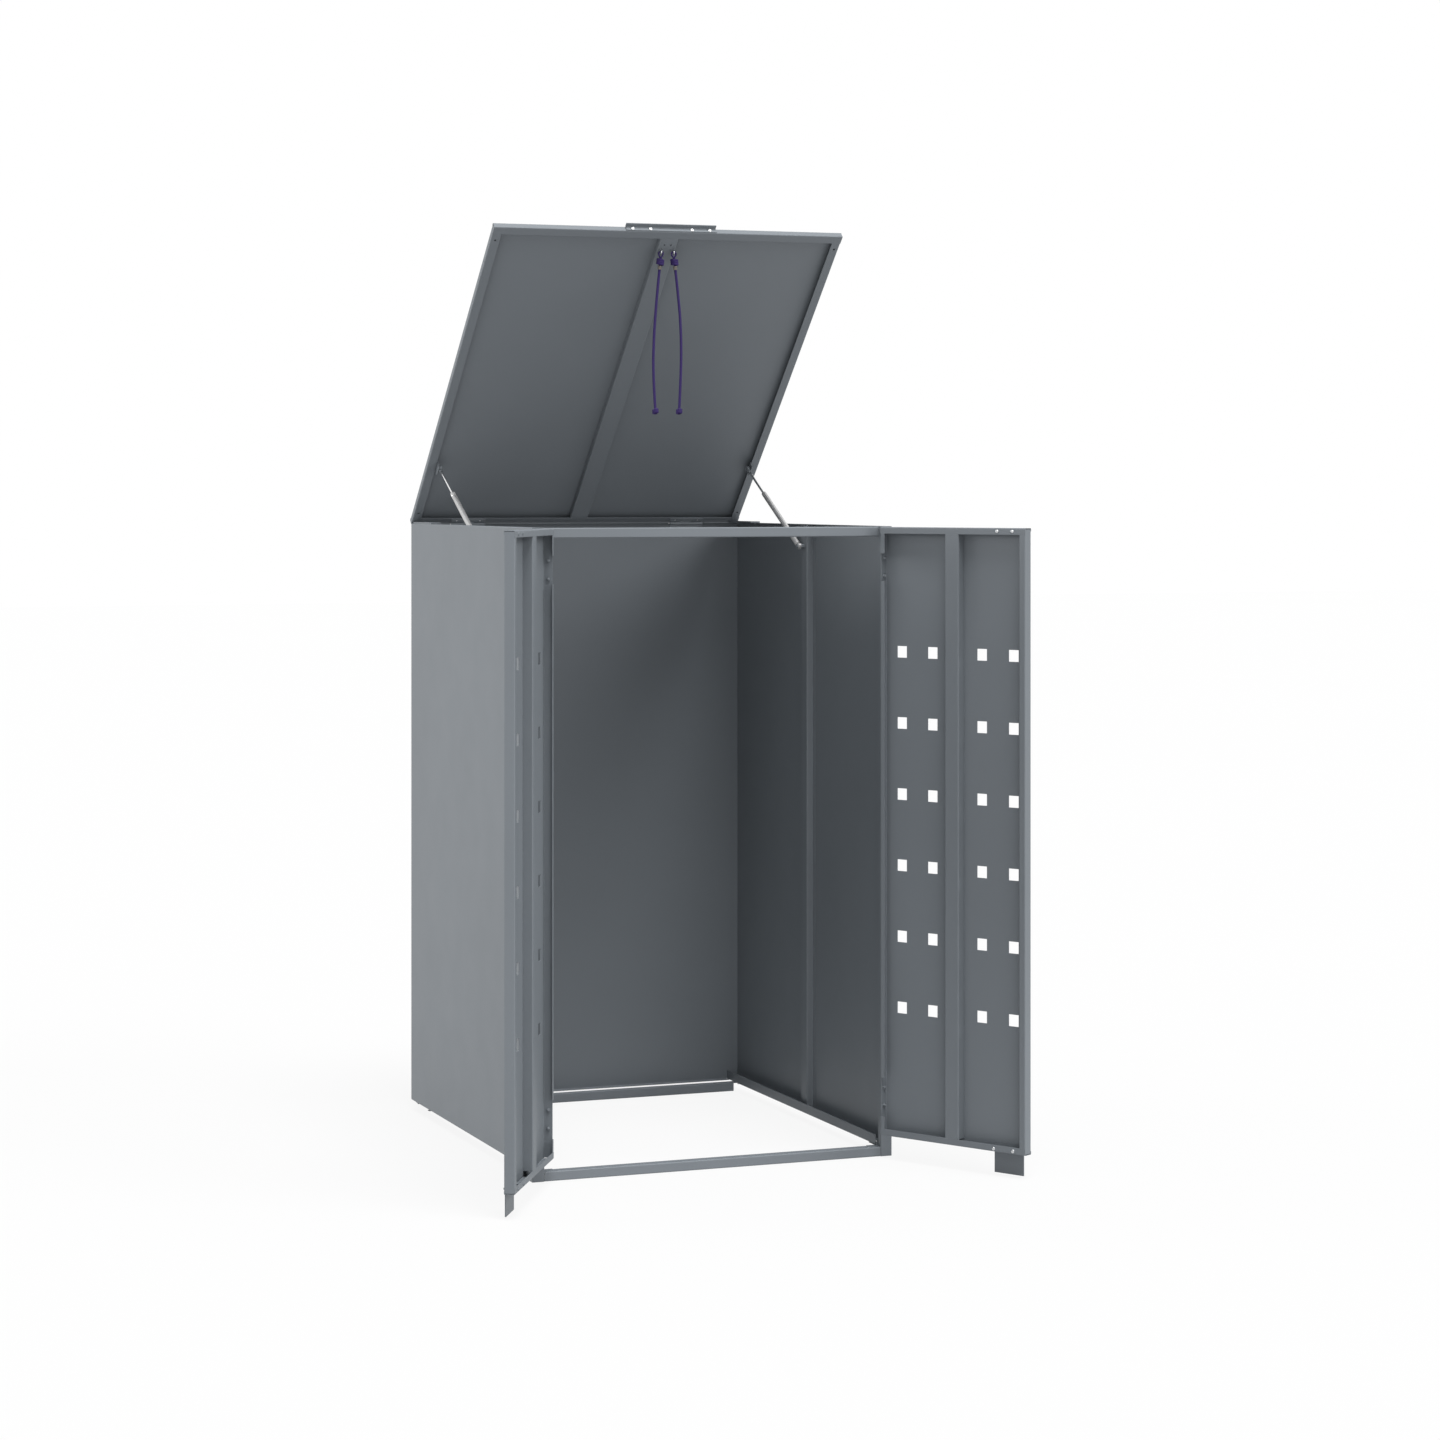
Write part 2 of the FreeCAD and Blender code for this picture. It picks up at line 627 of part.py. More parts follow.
def door_leaf(centre):
    """Cranked leaf on the right door's edge with the middle knuckle."""
    low, high = centre - HINGE_LENGTH / 2, centre + HINGE_LENGTH / 2
    third = HINGE_LENGTH / 3
    edge = DOOR_HINGE_X
    face = PIN_Y - LEAF_THICK / 2
    plate = box(edge, edge + LEAF_THICK, face, FRONT + DOOR_LEAF_DEPTH, low, high)
    crank = box(edge, PIN_X, face, face + LEAF_THICK,
                low + third + KNUCKLE_GAP, high - third - KNUCKLE_GAP)
    leaf = fuse([plate, crank] + barrel(low, door_axis, HINGE_LENGTH, False))
    leaf = leaf.cut([pin_hole(low, high, door_axis)])
    return bored(leaf, hinge_bolt_seats(), (-1, 0, 0), LEAF_THICK, SMALL_BOLT_RADIUS)


def hinge_pin(centre):
    """Pin of one right door hinge."""
    half = HINGE_LENGTH / 2
    return rod(door_axis(centre - half), door_axis(centre + half), PIN_RADIUS)


# Lid

def lid_panel():
    """Shallow pan: skin, side skirts and lips in one bend line, with folded front and back."""
    low, top = LID_LIP_Z, LID_TOP
    body = folded([(LID_LIP - LID_SIDE, low), (-LID_SIDE, low), (-LID_SIDE, top), (LID_SIDE, top),
                   (LID_SIDE, low), (LID_SIDE - LID_LIP, low)], "y", FRONT + FOLD, BACK - FOLD, RIGHT)
    front = folded([(FRONT + LID_LIP, low), (FRONT, low), (FRONT, top), (FRONT + FOLD_LAP, top)],
                   "x", -LID_SIDE, LID_SIDE, RIGHT)
    back = folded([(BACK - LID_LIP, low), (BACK, low), (BACK, top), (BACK - FOLD_LAP, top)],
                  "x", -LID_SIDE, LID_SIDE, LEFT)
    holes = []
    for x in (LID_LIP / 2 - LID_SIDE, LID_SIDE - LID_LIP / 2):
        for y in (FRONT + LIP_HOLE_FRONT, BACK - LIP_HOLE_BACK):
            holes.append(rod((x, y, low - PAST), (x, y, low + FOLD), LIP_HOLE_RADIUS))
    panel = fuse([body, front, back]).cut(holes)
    panel = bored(panel, handle_bolt_seats(), (0, 1, 0), HANDLE_THICK + SHEET, BOLT_RADIUS)
    panel = bored(panel, lid_leaf_seats(), (0, 0, -1), SHEET, RIVET_RADIUS)
    for side in (-1, 1):
        seats = [(side * x, y, z) for x, y, z in bracket_rivet_seats()]
        panel = bored(panel, seats, (0, 0, -1), BRACKET_THICK + SHEET, RIVET_RADIUS)
    return panel


def lid_stiffener():
    """Channel along the middle of the lid, with its open side on the skin."""
    half = LID_STIFFENER_WIDTH / 2
    skin = LID_TOP - SHEET
    channel = folded([(-half, skin), (-half, LID_LIP_Z), (half, LID_LIP_Z), (half, skin)],
                     "y", FRONT + LID_LIP, BACK - LID_LIP, LEFT)
    holes = []
    jig_y = FRONT + JIG_HOLE_FRONT
    for side in (-1, 1):
        x = side * JIG_HOLE_X
        holes.append(rod((x, jig_y, LID_LIP_Z - PAST), (x, jig_y, LID_LIP_Z + FOLD), JIG_HOLE_RADIUS))
    hook_seats = [(x, HOOK_Y, LID_LIP_Z) for x in hook_xs()]
    return bored(channel.cut(holes), hook_seats, (0, 0, 1), SHEET, HOOK_WIRE)


def lid_handle():
    """Angle strip on the lid's front skirt: one leg bolted on, one leg to pull."""
    half = HANDLE_WIDTH / 2
    strip = folded([(FRONT, LID_TOP - HANDLE_HEIGHT), (FRONT, LID_TOP), (FRONT - HANDLE_REACH, LID_TOP)],
                   "x", -half, half, LEFT, HANDLE_THICK)
    return bored(strip, handle_bolt_seats(), (0, 1, 0), HANDLE_THICK + SHEET, BOLT_RADIUS)


def handle_bolt_seats():
    """Heads of the four bolts of the handle."""
    z = LID_TOP - (HANDLE_HEIGHT + HANDLE_THICK + BEND) / 2
    return [(side * x, FRONT - HANDLE_THICK, z)
            for side in (-1, 1) for x in (HANDLE_BOLT_INNER, HANDLE_BOLT_OUTER)]


def handle_bolts():
    """Bolts through the handle and the lid's skirt."""
    return [bolt(seat, (0, 1, 0), HANDLE_THICK + SHEET) for seat in handle_bolt_seats()]


def lid_fixed_leaf(middle):
    """Leaf inside the back panel's top edge with two knuckles."""
    low, high = middle - LID_HINGE_LENGTH / 2, middle + LID_HINGE_LENGTH / 2
    third = LID_HINGE_LENGTH / 3
    face = BACK_OUTER - SHEET
    foot = PIVOT_Z - LID_LEAF_HEIGHT
    room = KNUCKLE_RADIUS + KNUCKLE_GAP
    plate = box(low, high, face - LID_LEAF_THICK, face, foot, PIVOT_Z - room)
    arms = [box(x, x + third, face - LID_LEAF_THICK, face, foot, PIVOT_Z) for x in (low, high - third)]
    leaf = fuse([plate] + arms + barrel(low, lid_axis, LID_HINGE_LENGTH, True))
    leaf = leaf.cut([pin_hole(low, high, lid_axis)])
    return bored(leaf, back_leaf_seats(), (0, -1, 0), SHEET + LID_LEAF_THICK, RIVET_RADIUS)


def back_leaf_seats():
    """Heads of the rivets on the back panel's outer face that hold the fixed leaves."""
    z = PIVOT_Z - (LID_LEAF_HEIGHT + KNUCKLE_RADIUS) / 2
    return [(middle + shift, BACK_OUTER, z) for middle in (-LID_HINGE_OFFSET, LID_HINGE_OFFSET)
            for shift in (-LID_HINGE_RIVET, LID_HINGE_RIVET)]


def lid_leaf(middle):
    """Leaf under the lid's back lip, with an arm down to the middle knuckle."""
    low, high = middle - LID_HINGE_LENGTH / 2, middle + LID_HINGE_LENGTH / 2
    third = LID_HINGE_LENGTH / 3
    plate = box(low, high, PIVOT_Y - LID_LEAF_REACH, PIVOT_Y, LID_LIP_Z - LID_LEAF_THICK, LID_LIP_Z)
    arm = box(low + third + KNUCKLE_GAP, high - third - KNUCKLE_GAP, PIVOT_Y - LID_LEAF_THICK, PIVOT_Y,
              PIVOT_Z, LID_LIP_Z)
    leaf = fuse([plate, arm] + barrel(low, lid_axis, LID_HINGE_LENGTH, False))
    leaf = leaf.cut([pin_hole(low, high, lid_axis)])
    return bored(leaf, lid_leaf_seats(), (0, 0, -1), SHEET + LID_LEAF_THICK, RIVET_RADIUS)


def lid_leaf_seats():
    """Heads of the rivets on the lid's back lip that hold the moving leaves."""
    y = PIVOT_Y - (LID_LEAF_REACH + LID_LEAF_THICK) / 2
    return [(middle + shift, y, LID_LIP_Z + SHEET) for middle in (-LID_HINGE_OFFSET, LID_HINGE_OFFSET)
            for shift in (-LID_HINGE_RIVET, LID_HINGE_RIVET)]


def lid_pin(middle):
    """Pin of one lid hinge."""
    half = LID_HINGE_LENGTH / 2
    return rod(lid_axis(middle - half), lid_axis(middle + half), PIN_RADIUS)


def opened_lid(shape):
    """A piece drawn on the closed lid, turned to the open rest position."""
    return turned(shape, (0, PIVOT_Y, PIVOT_Z), X_AXIS, -LID_OPEN)


def opened_point(x, y, z):
    """A point of the closed lid, turned to the open rest position."""
    centre = FreeCAD.Vector(0, PIVOT_Y, PIVOT_Z)
    return FreeCAD.Rotation(X_AXIS, -LID_OPEN).multVec(FreeCAD.Vector(x, y, z) - centre) + centre


# Gas struts

def strut_head():
    """Upper pivot of the right strut with the lid open."""
    return opened_point(STRUT_X, PIVOT_Y - STRUT_HEAD_FORWARD, PIVOT_Z - STRUT_HEAD_DROP)


def strut_foot():
    """Lower pivot of the right strut."""
    return FreeCAD.Vector(STRUT_X, MIDDLE, STRUT_FOOT_Z)


def strut_way():
    """Unit direction of the right strut, from foot to head."""
    return (strut_head() - strut_foot()).normalize()


def eye(centre):
    """Flat round strut end across X."""
    return Part.makeCylinder(EYE_RADIUS, EYE_WIDTH, centre - X_AXIS * (EYE_WIDTH / 2), X_AXIS)


def eye_hole(centre, clearance):
    """Tool that bores a strut end for its stud."""
    return Part.makeCylinder(STUD_RADIUS + clearance, EYE_WIDTH + 2 * PAST,
                             centre - X_AXIS * (EYE_WIDTH / 2 + PAST), X_AXIS)


def strut_tube():
    """Right strut's cylinder with its gland and lower eye."""
    start, way = strut_foot(), strut_way()
    end = start + way * TUBE_LENGTH
    solid_end = EYE_RADIUS + TUBE_END_WALL
    neck = STUD_RADIUS + STUD_COLLAR + EYE_CLEARANCE
    wall = Part.makeCylinder(TUBE_RADIUS, TUBE_LENGTH - neck, start + way * neck, way)
    bore = Part.makeCylinder(TUBE_BORE, TUBE_LENGTH - solid_end - GLAND_LENGTH,
                             start + way * solid_end, way)
    passage = Part.makeCylinder(ROD_RADIUS + ROD_CLEARANCE, GLAND_LENGTH + 2 * PAST, end + way * PAST, -way)
    return fuse([wall, eye(start)]).cut([bore, passage, eye_hole(start, PIN_CLEARANCE)])


def strut_rod():
    """Right strut's rod with its upper eye and its piston."""
    head, way = strut_head(), strut_way()
    low_end = head - way * STRUT_ROD_LENGTH
    bar = Part.makeCylinder(ROD_RADIUS, STRUT_ROD_LENGTH, low_end, way)
    piston = Part.makeCylinder(TUBE_BORE - PISTON_CLEARANCE, PISTON_LENGTH, low_end, way)
    return fuse([bar, piston, eye(head)]).cut([eye_hole(head, 0)])


def side_stud():
    """Stud on the right side stiffener that carries the strut's lower eye."""
    y, z = MIDDLE, STRUT_FOOT_Z
    inner = STRUT_X - EYE_WIDTH / 2 - EYE_SIDE_GAP
    outer = STRUT_X + EYE_WIDTH / 2 + EYE_SIDE_GAP
    shank = rod((inner, y, z), (STIFFENER_FACE + FOLD, y, z), STUD_RADIUS)
    size = STUD_RADIUS + STUD_COLLAR
    collar = hexagon_bar(FreeCAD.Vector(outer, y, z), X_AXIS, size, STIFFENER_FACE - outer)
    clip = hexagon_bar(FreeCAD.Vector(inner, y, z), -X_AXIS, size, STUD_CLIP)
    return fuse([shank, collar, clip])


def lid_bracket():
    """Closed-lid place of the right bracket: a foot on the side lip, an ear and a stud."""
    y = PIVOT_Y - STRUT_HEAD_FORWARD
    z = PIVOT_Z - STRUT_HEAD_DROP
    ear_x = LID_SIDE - LID_LIP - BEND - BRACKET_GAP
    half = BRACKET_WIDTH / 2
    foot_z = LID_LIP_Z + SHEET
    bracket = folded([(ear_x, z - EYE_RADIUS), (ear_x, foot_z), (LID_SIDE - FOLD, foot_z)],
                     "y", y - half, y + half, LEFT, BRACKET_THICK)
    stud = rod((STRUT_X + EYE_WIDTH / 2 + EYE_CLEARANCE, y, z), (ear_x - BRACKET_THICK / 2, y, z), STUD_RADIUS)
    return bored(fuse([bracket, stud]), bracket_rivet_seats(), (0, 0, -1), BRACKET_THICK, RIVET_RADIUS)


def bracket_rivet_seats():
    """Heads of the rivets through the right bracket's foot, with the lid closed."""
    x = LID_SIDE - LID_LIP / 2
    y = PIVOT_Y - STRUT_HEAD_FORWARD
    half = BRACKET_RIVET_PITCH / 2
    return [(x, y + shift, LID_LIP_Z + SHEET + BRACKET_THICK) for shift in (-half, half)]


# Lifting cords

def hook_xs():
    """X of the left and the right hook."""
    return [-HOOK_SPACING / 2, HOOK_SPACING / 2]


def hook_centre(x):
    """Middle of a hook's bend with the lid open, round which its cord hangs."""
    return opened_point(x, HOOK_Y - HOOK_BEND, LID_LIP_Z - HOOK_DROP + HOOK_WIRE + HOOK_BEND)


def cord_hook(x):
    """Bent wire hook through the lid's stiffener, open towards the front, drawn with the lid closed."""
    low = LID_LIP_Z - HOOK_DROP + HOOK_WIRE
    far = HOOK_Y - 2 * HOOK_BEND
    points = [FreeCAD.Vector(x, y, z) for y, z in
              ((HOOK_Y, LID_LIP_Z + FOLD), (HOOK_Y, low), (far, low), (far, low + HOOK_BEND + HOOK_TIP))]
    bends = (HOOK_BEND * HOOK_BEND_SHARE,) * 2
    return Part.Wire(rounded(points, bends)).makePipe(flat(corners(points[0], -Z_AXIS, HOOK_WIRE, 6)))


def cord_ways(side):
    """Unit direction of each run of a cord, from its hook down; side is -1 left, 1 right."""
    tilts = CORD_TILTS_RIGHT if side > 0 else CORD_TILTS_LEFT
    return [FreeCAD.Vector(side * math.sin(math.radians(tilt)), 0, -math.cos(math.radians(tilt)))
            for tilt in tilts]


def flat_half(radius):
    """Half the length of a knot of that radius, between the points where it meets the cord."""
    return math.sqrt(radius ** 2 - CORD_RADIUS ** 2)


def cord_start(side):
    """Point just under the hook where a cord's upper knot begins."""
    return hook_centre(side * HOOK_SPACING / 2) - Z_AXIS * (HOOK_BEND + HOOK_WIRE + CORD_SEAT)


def cord_knot(side):
    """Neck and ball of the knot just below a hook."""
    start, way = cord_start(side), cord_ways(side)[0]
    half = flat_half(KNOT_RADIUS)
    neck = flat(corners(start, way, CORD_RADIUS, CORD_SIDES)).extrude(way * KNOT_NECK)
    return fuse([neck, bead(start + way * (KNOT_NECK + half), way, KNOT_RADIUS)])


def bead(centre, way, radius):
    """Knot body: a barrel with a taper at each end down to the cord."""
    half = flat_half(radius)
    core = half * BEAD_CORE
    return stacked([corners(centre + way * along, way, size, CORD_SIDES) for along, size in
                    ((-half, CORD_RADIUS), (-core, radius), (core, radius), (half, CORD_RADIUS))])


def ferrule_start(side):
    """Point where the ferrule meets the upper knot."""
    return cord_start(side) + cord_ways(side)[0] * (KNOT_NECK + 2 * flat_half(KNOT_RADIUS))


def cord_ferrule(side):
    """Crimped sleeve below the upper knot."""
    return Part.makeCylinder(FERRULE_RADIUS, FERRULE_LENGTH, ferrule_start(side), cord_ways(side)[0])


def cord_route(side):
    """Corner points of a cord's free stretch, from the ferrule to the end knot."""
    ways = cord_ways(side)
    points = [ferrule_start(side) + ways[0] * FERRULE_LENGTH]
    for way in ways:
        points.append(points[-1] + way * CORD_RUN)
    return points


def cord(side):
    """Free stretch: straight runs joined by tangent arcs as large as the runs allow."""
    points = cord_route(side)
    radii = []
    for before, corner, after in zip(points, points[1:], points[2:]):
        _, _, turn = corner_turn(before, corner, after)
        radii.append(ARC_SHARE * CORD_RUN / math.tan(turn / 2))
    path = Part.Wire(rounded(points, radii))
    section = flat(corners(points[0], cord_ways(side)[0], CORD_RADIUS, CORD_SIDES))
    tube = path.makePipe(section)
    print("cord", [round(radius) for radius in radii], "arc radii,", round(path.Length, 1),
          "mm, volume ratio", round(tube.Volume / (path.Length * section.Area), 4))
    return tube


def cord_end(side):
    """Knot that closes a cord's lower end."""
    way = cord_ways(side)[-1]
    return bead(cord_route(side)[-1] + way * flat_half(END_KNOT_RADIUS), way, END_KNOT_RADIUS)


# Nodes

def write(name, solids):
    """Write one node, a solid or a group of separate solids."""
    shape = solids[0] if len(solids) == 1 else Part.makeCompound(solids)
    if not shape.isValid():
        raise ValueError(name + " is not a valid shape")
    shape.exportStep("parts/" + name + ".step")
    print(name, len(shape.Solids), round(shape.Volume / 1000.0, 2), "cm3")


def both_sides(name, solids, pose=None):
    """Write the right-hand solids and their mirror image under a left and a right name."""
    posed = [pose(solid) for solid in solids] if pose else solids
    write(name + "_right", posed)
    write(name + "_left", [mirrored(solid) for solid in posed])


def opened_door(shape):
    """A piece drawn on the closed right door, turned to the open rest position."""
    return turned(shape, (PIN_X, PIN_Y, 0), Z_AXIS, DOOR_OPEN)


def write_carcass():
    """Write the folded frame and what is fixed to it."""
    both_sides("side_panel", [side_panel()])
    both_sides("side_stiffener", [side_stiffener()])
    both_sides("corner_plate", [corner_plate()])
    through = SHEET + CORNER_PLATE_THICK
    both_sides("corner_rivets", [rivet(seat, (0, 0, 1), through) for seat in corner_rivet_seats()])
    write("back_panel", [back_panel()])
    write("front_top_bar", [front_top_bar()])
    write("front_base_rail", [front_base_rail()])
    write("back_base_rail", [back_base_rail()])
    grip = LAP_GAP + 2 * SHEET
    bolts = [bolt(seat, (0, 0, -1), grip) for seat in rail_bolt_seats()]
    write("rail_bolts", bolts + [mirrored(piece) for piece in bolts])


def write_doors():
    """Write both doors and their hinges."""
    both_sides("door_panel", [door_panel()], opened_door)
    both_sides("door_stiffener", [door_stiffener()], opened_door)
    both_sides("door_stop_plate", [stop_plate()], opened_door)
    both_sides("door_bolts", door_bolts(), opened_door)
    both_sides("door_hinge_bolts", hinge_bolts(), opened_door)
    both_sides("door_hinge_leaves", [door_leaf(z) for z in HINGE_CENTRES], opened_door)
    both_sides("post_hinge_leaves", [fixed_leaf(z) for z in HINGE_CENTRES])
    grip = LEAF_THICK + SHEET
    both_sides("post_hinge_rivets", [rivet(seat, (0, 1, 0), grip) for seat in fixed_leaf_seats()])
    both_sides("door_hinge_pins", [hinge_pin(z) for z in HINGE_CENTRES])


def write_lid():
    """Write the lid, its hinges and what is fixed to it."""
    middles = (-LID_HINGE_OFFSET, LID_HINGE_OFFSET)
    grip = SHEET + LID_LEAF_THICK
    write("lid_panel", [opened_lid(lid_panel())])
    write("lid_stiffener", [opened_lid(lid_stiffener())])
    write("lid_handle", [opened_lid(lid_handle())])
    write("lid_handle_bolts", [opened_lid(piece) for piece in handle_bolts()])
    write("lid_hinge_leaves", [opened_lid(lid_leaf(x)) for x in middles])
    write("lid_hinge_rivets", [opened_lid(rivet(seat, (0, 0, -1), grip)) for seat in lid_leaf_seats()])
    write("back_hinge_leaves", [lid_fixed_leaf(x) for x in middles])
    write("back_hinge_rivets", [rivet(seat, (0, -1, 0), grip) for seat in back_leaf_seats()])
    write("lid_hinge_pins", [lid_pin(x) for x in middles])


def write_struts():
    """Write both gas struts and their fixings."""
    both_sides("strut_tube", [strut_tube()])
    both_sides("strut_rod", [strut_rod()])
    both_sides("strut_stud", [side_stud()])
    both_sides("strut_bracket", [lid_bracket()], opened_lid)
    grip = BRACKET_THICK + SHEET
    both_sides("bracket_rivets", [rivet(seat, (0, 0, -1), grip) for seat in bracket_rivet_seats()],
               opened_lid)


def write_cords():
    """Write the lifting cords with their knots, ferrules and hooks."""
    write("cord_hooks", [opened_lid(cord_hook(x)) for x in hook_xs()])
    for name, side in (("left", -1), ("right", 1)):
        write("cord_knot_" + name, [cord_knot(side)])
        write("cord_ferrule_" + name, [cord_ferrule(side)])
        write("cord_" + name, [cord(side)])
        write("cord_end_" + name, [cord_end(side)])


def main():
    """Build every node."""
    os.makedirs("parts", exist_ok=True)
    write_carcass()
    write_doors()
    write_lid()
    write_struts()
    write_cords()


main()
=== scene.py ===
"""Looks of the steel bin store: camera, cords, fasteners, struts, finishes and light."""
import json
import math

import bmesh
import bpy
import numpy as np
from mathutils import Matrix, Vector


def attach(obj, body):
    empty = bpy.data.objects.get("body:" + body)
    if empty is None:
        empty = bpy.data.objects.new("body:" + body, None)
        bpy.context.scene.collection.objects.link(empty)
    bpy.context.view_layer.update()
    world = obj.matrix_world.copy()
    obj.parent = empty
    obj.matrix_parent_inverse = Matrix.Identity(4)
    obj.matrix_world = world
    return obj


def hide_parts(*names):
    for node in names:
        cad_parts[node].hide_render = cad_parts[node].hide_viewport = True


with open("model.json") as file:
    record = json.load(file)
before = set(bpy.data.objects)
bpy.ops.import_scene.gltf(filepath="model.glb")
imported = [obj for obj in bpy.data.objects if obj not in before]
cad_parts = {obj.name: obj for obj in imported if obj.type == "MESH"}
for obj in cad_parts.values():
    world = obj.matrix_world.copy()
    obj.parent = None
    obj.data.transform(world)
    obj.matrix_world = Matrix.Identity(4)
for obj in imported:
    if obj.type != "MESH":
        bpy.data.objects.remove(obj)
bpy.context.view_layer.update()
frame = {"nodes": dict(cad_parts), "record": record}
NODES = frame["nodes"]
SCENE = bpy.context.scene
MM = 0.001
X_AXIS = Vector((1, 0, 0))
UP = Vector((0, 0, 1))
SIDES = (("left", -1), ("right", 1))

# Camera, worked out from the photograph
PHOTO_SIZE = 1440.0
FOCAL_PIXELS = 3453.6
HORIZON_PIXEL = 488.4
CAMERA_PLACE = (-2.2125, -5.7937, 1.2200)
CAMERA_YAW = 0.3666
SENSOR = 36.0

# Stage and light: a lamp is its way in and its strength
FLOOR_SIZE = 60.0
FLOOR_DROP = 0.0005
FLOOR_LEVEL = 0.50
FLOOR_CLOUD = 0.01
FLOOR_CLOUD_SCALE = 0.4
FLOOR_ROUGHNESS = 0.9
FLOOR_WHITE = 0.88
WORLD_LIGHT = 0.60
SUN_SPREAD = math.radians(30)
SUNS = {
    "sun_front_right": (Vector((0.60, -0.63, 0.50)), 1.25),
    "sun_back_left": (Vector((-0.87, 0.50, 0.02)), 1.95),
    "sun_above": (Vector((0.0, -0.35, 0.94)), 3.6),
}

# Powder coat: levels of grey, how cool they are, and noise scales in cycles per metre
PAINT_DARK = 0.156
PAINT_LIGHT = 0.166
PAINT_COOL = 0.10
CLOUD_SCALE = 2.5
CLOUD_FROM = 0.35
CLOUD_TO = 0.65
SPECK_LEVEL = 0.30
EDGE_LEVEL = 0.26
WORN_COOL = 0.08
SPECK_SCALE = 900.0
SPECK_SHARE = 0.10
EDGE_RADIUS = 0.0010
EDGE_SAMPLES = 4
EDGE_SHARE = 0.30
EDGE_FROM = 0.98
EDGE_TO = 0.80
PEEL_SCALE = 420.0
PEEL_ROUGHNESS = 0.55
PEEL_STRENGTH = 0.15
PEEL_DEPTH = 0.0006
GRAIN_SCALE = 1600.0
GRAIN_STRENGTH = 0.10
GRAIN_DEPTH = 0.0002
SHINE_SCALE = 14.0
PAINT_ROUGHNESS = (0.46, 0.56)
PAINT_SPECULAR = 0.3

# Braided cord cover
BRAID_TILT = 0.65
BRAID_SCALE = 150.0
BRAID_DISTORTION = 0.6
BRAID_DEEP = (0.006, 0.003, 0.024, 1)
BRAID_RAISED = (0.024, 0.012, 0.085, 1)
BRAID_FLECK = (0.06, 0.035, 0.17, 1)
FLECK_SCALE = 1200.0
FLECK_SHARES = (0.07, 0.28)
BRAID_SHINE_SCALE = 200.0
BRAID_ROUGHNESS = (0.68, 0.82)
BRAID_SPECULAR = 0.25
BRAID_STRENGTH = 0.5
BRAID_DEPTH = 0.0006

# The record's slot for metal that is painted with the sheet, and the fasteners that take its paint:
# the photograph shows the hinge bolts, hinge rivets and bracket rivets painted; on the left door's
# bolts the sheet's paint is painted shade, as the same bolts on the right door stay zinc
PAINTED = "zinc_hinges"
FASTENERS_IN_PAINT_AND_PAINTED_SHADE = ("door_bolts_left", "door_hinge_bolts_left", "door_hinge_bolts_right",
                     "post_hinge_rivets_left", "post_hinge_rivets_right",
                     "bracket_rivets_left", "bracket_rivets_right")

# Meshes: corners round a turned shape, how near two points or rings count as one, in metres, and
# the angles in degrees above which an edge stays sharp
STEPS = 24
HALF_SIDE = math.pi / 6
SAME_PLACE = 1e-6
SAME_PLACE_DIGITS = 6
SAME_END = 1e-5
SAME_LEVEL = 0.0001
SMOOTH_ANGLE = 35.0
HOOK_SMOOTH_ANGLE = 60.0
RAIL_SMOOTH_ANGLE = 20.0

# Fasteners: shares of a head's, a nut's and a shank's measures; DOME is pairs of a head's radius
# and height, and the pitch of the thread is in metres
SOCKET_FLOOR = 0.45
SOCKET_LIP = 0.93
SOCKET_RIM = 1.12
DOME = ((0.70, 0.88), (0.88, 0.62), (0.97, 0.34), (1.0, 0.12), (0.97, 0.0))
BOLT_SOCKET = 0.42
RIVET_DIMPLE = 0.20
NUT_CHAMFER = 0.12
NUT_RIM = 0.88
SHANK_SHARE = 0.96
THREAD_PITCH = 0.0007
THREAD_ROOT = 0.84
THREAD_TIP = 0.80

# Lid hinge line and hooks, in millimetres, as in the CAD source
LID_OPEN = math.radians(44.8)
PIVOT = Vector((0, 759.8, 1149.0))
HOOK_X = 12.5
HOOK_Y = 36.0
HOOK_BEND = 3.0
HOOK_WIRE = 1.2
HOOK_TIP = 3.0
HOOK_LOW = 1143.5
HOOK_TOP = 1.0
HOOK_SHANK = 4.0
HOOK_STEPS = 8
LIP_TOP = 1155.3
BAR_END_RISE = 0.5
BAR_END_SHARE = 0.6

# Cords: radii and lengths in millimetres, except CORD_LENGTH in metres
CORD_RADIUS = 2.5
CORD_ROUTES = {
    "left": [(-15.45, 242.32, 1626.81), (-22.19, 242.32, 1562.66), (-26.69, 242.32, 1498.32),
             (-28.38, 242.32, 1433.84), (-23.88, 242.32, 1369.50)],
    "right": [(15.94, 242.32, 1626.87), (23.80, 242.32, 1562.85), (27.73, 242.32, 1498.47),
              (27.17, 242.32, 1433.97), (23.80, 242.32, 1369.56)],
}
SPLINE_ORDER = 3
SPLINE_STEPS = 16
BEVEL_STEPS = 5
KNOT_RADIUS = 8.0
END_KNOT_RADIUS = 6.5
STRAND = 2.35
WRAP_POINTS = 8
EYE_STRAND = 1.4
EYE_HALF_WIDTH = 4.4
EYE_CROWN = 1.1
FERRULE_LENGTH = 7.0
FERRULE = ((0.0, 0.0), (2.9, 0.0), (3.8, 0.4), (4.0, 1.0), (4.0, 2.0), (3.5, 2.5), (3.5, 2.9), (4.0, 3.4),
           (4.0, 4.0), (3.5, 4.5), (3.5, 4.9), (4.0, 5.4), (4.0, 6.2), (3.8, 6.7), (2.9, FERRULE_LENGTH),
           (0.0, FERRULE_LENGTH))

# Eye loop: shares of the drop from the hook to the knot, and of the loop's half width
EYE_NECK_DROP = 0.15
EYE_NECK_WIDTH = 0.35
EYE_WIDEST = 0.45
EYE_SHOULDER = 0.95

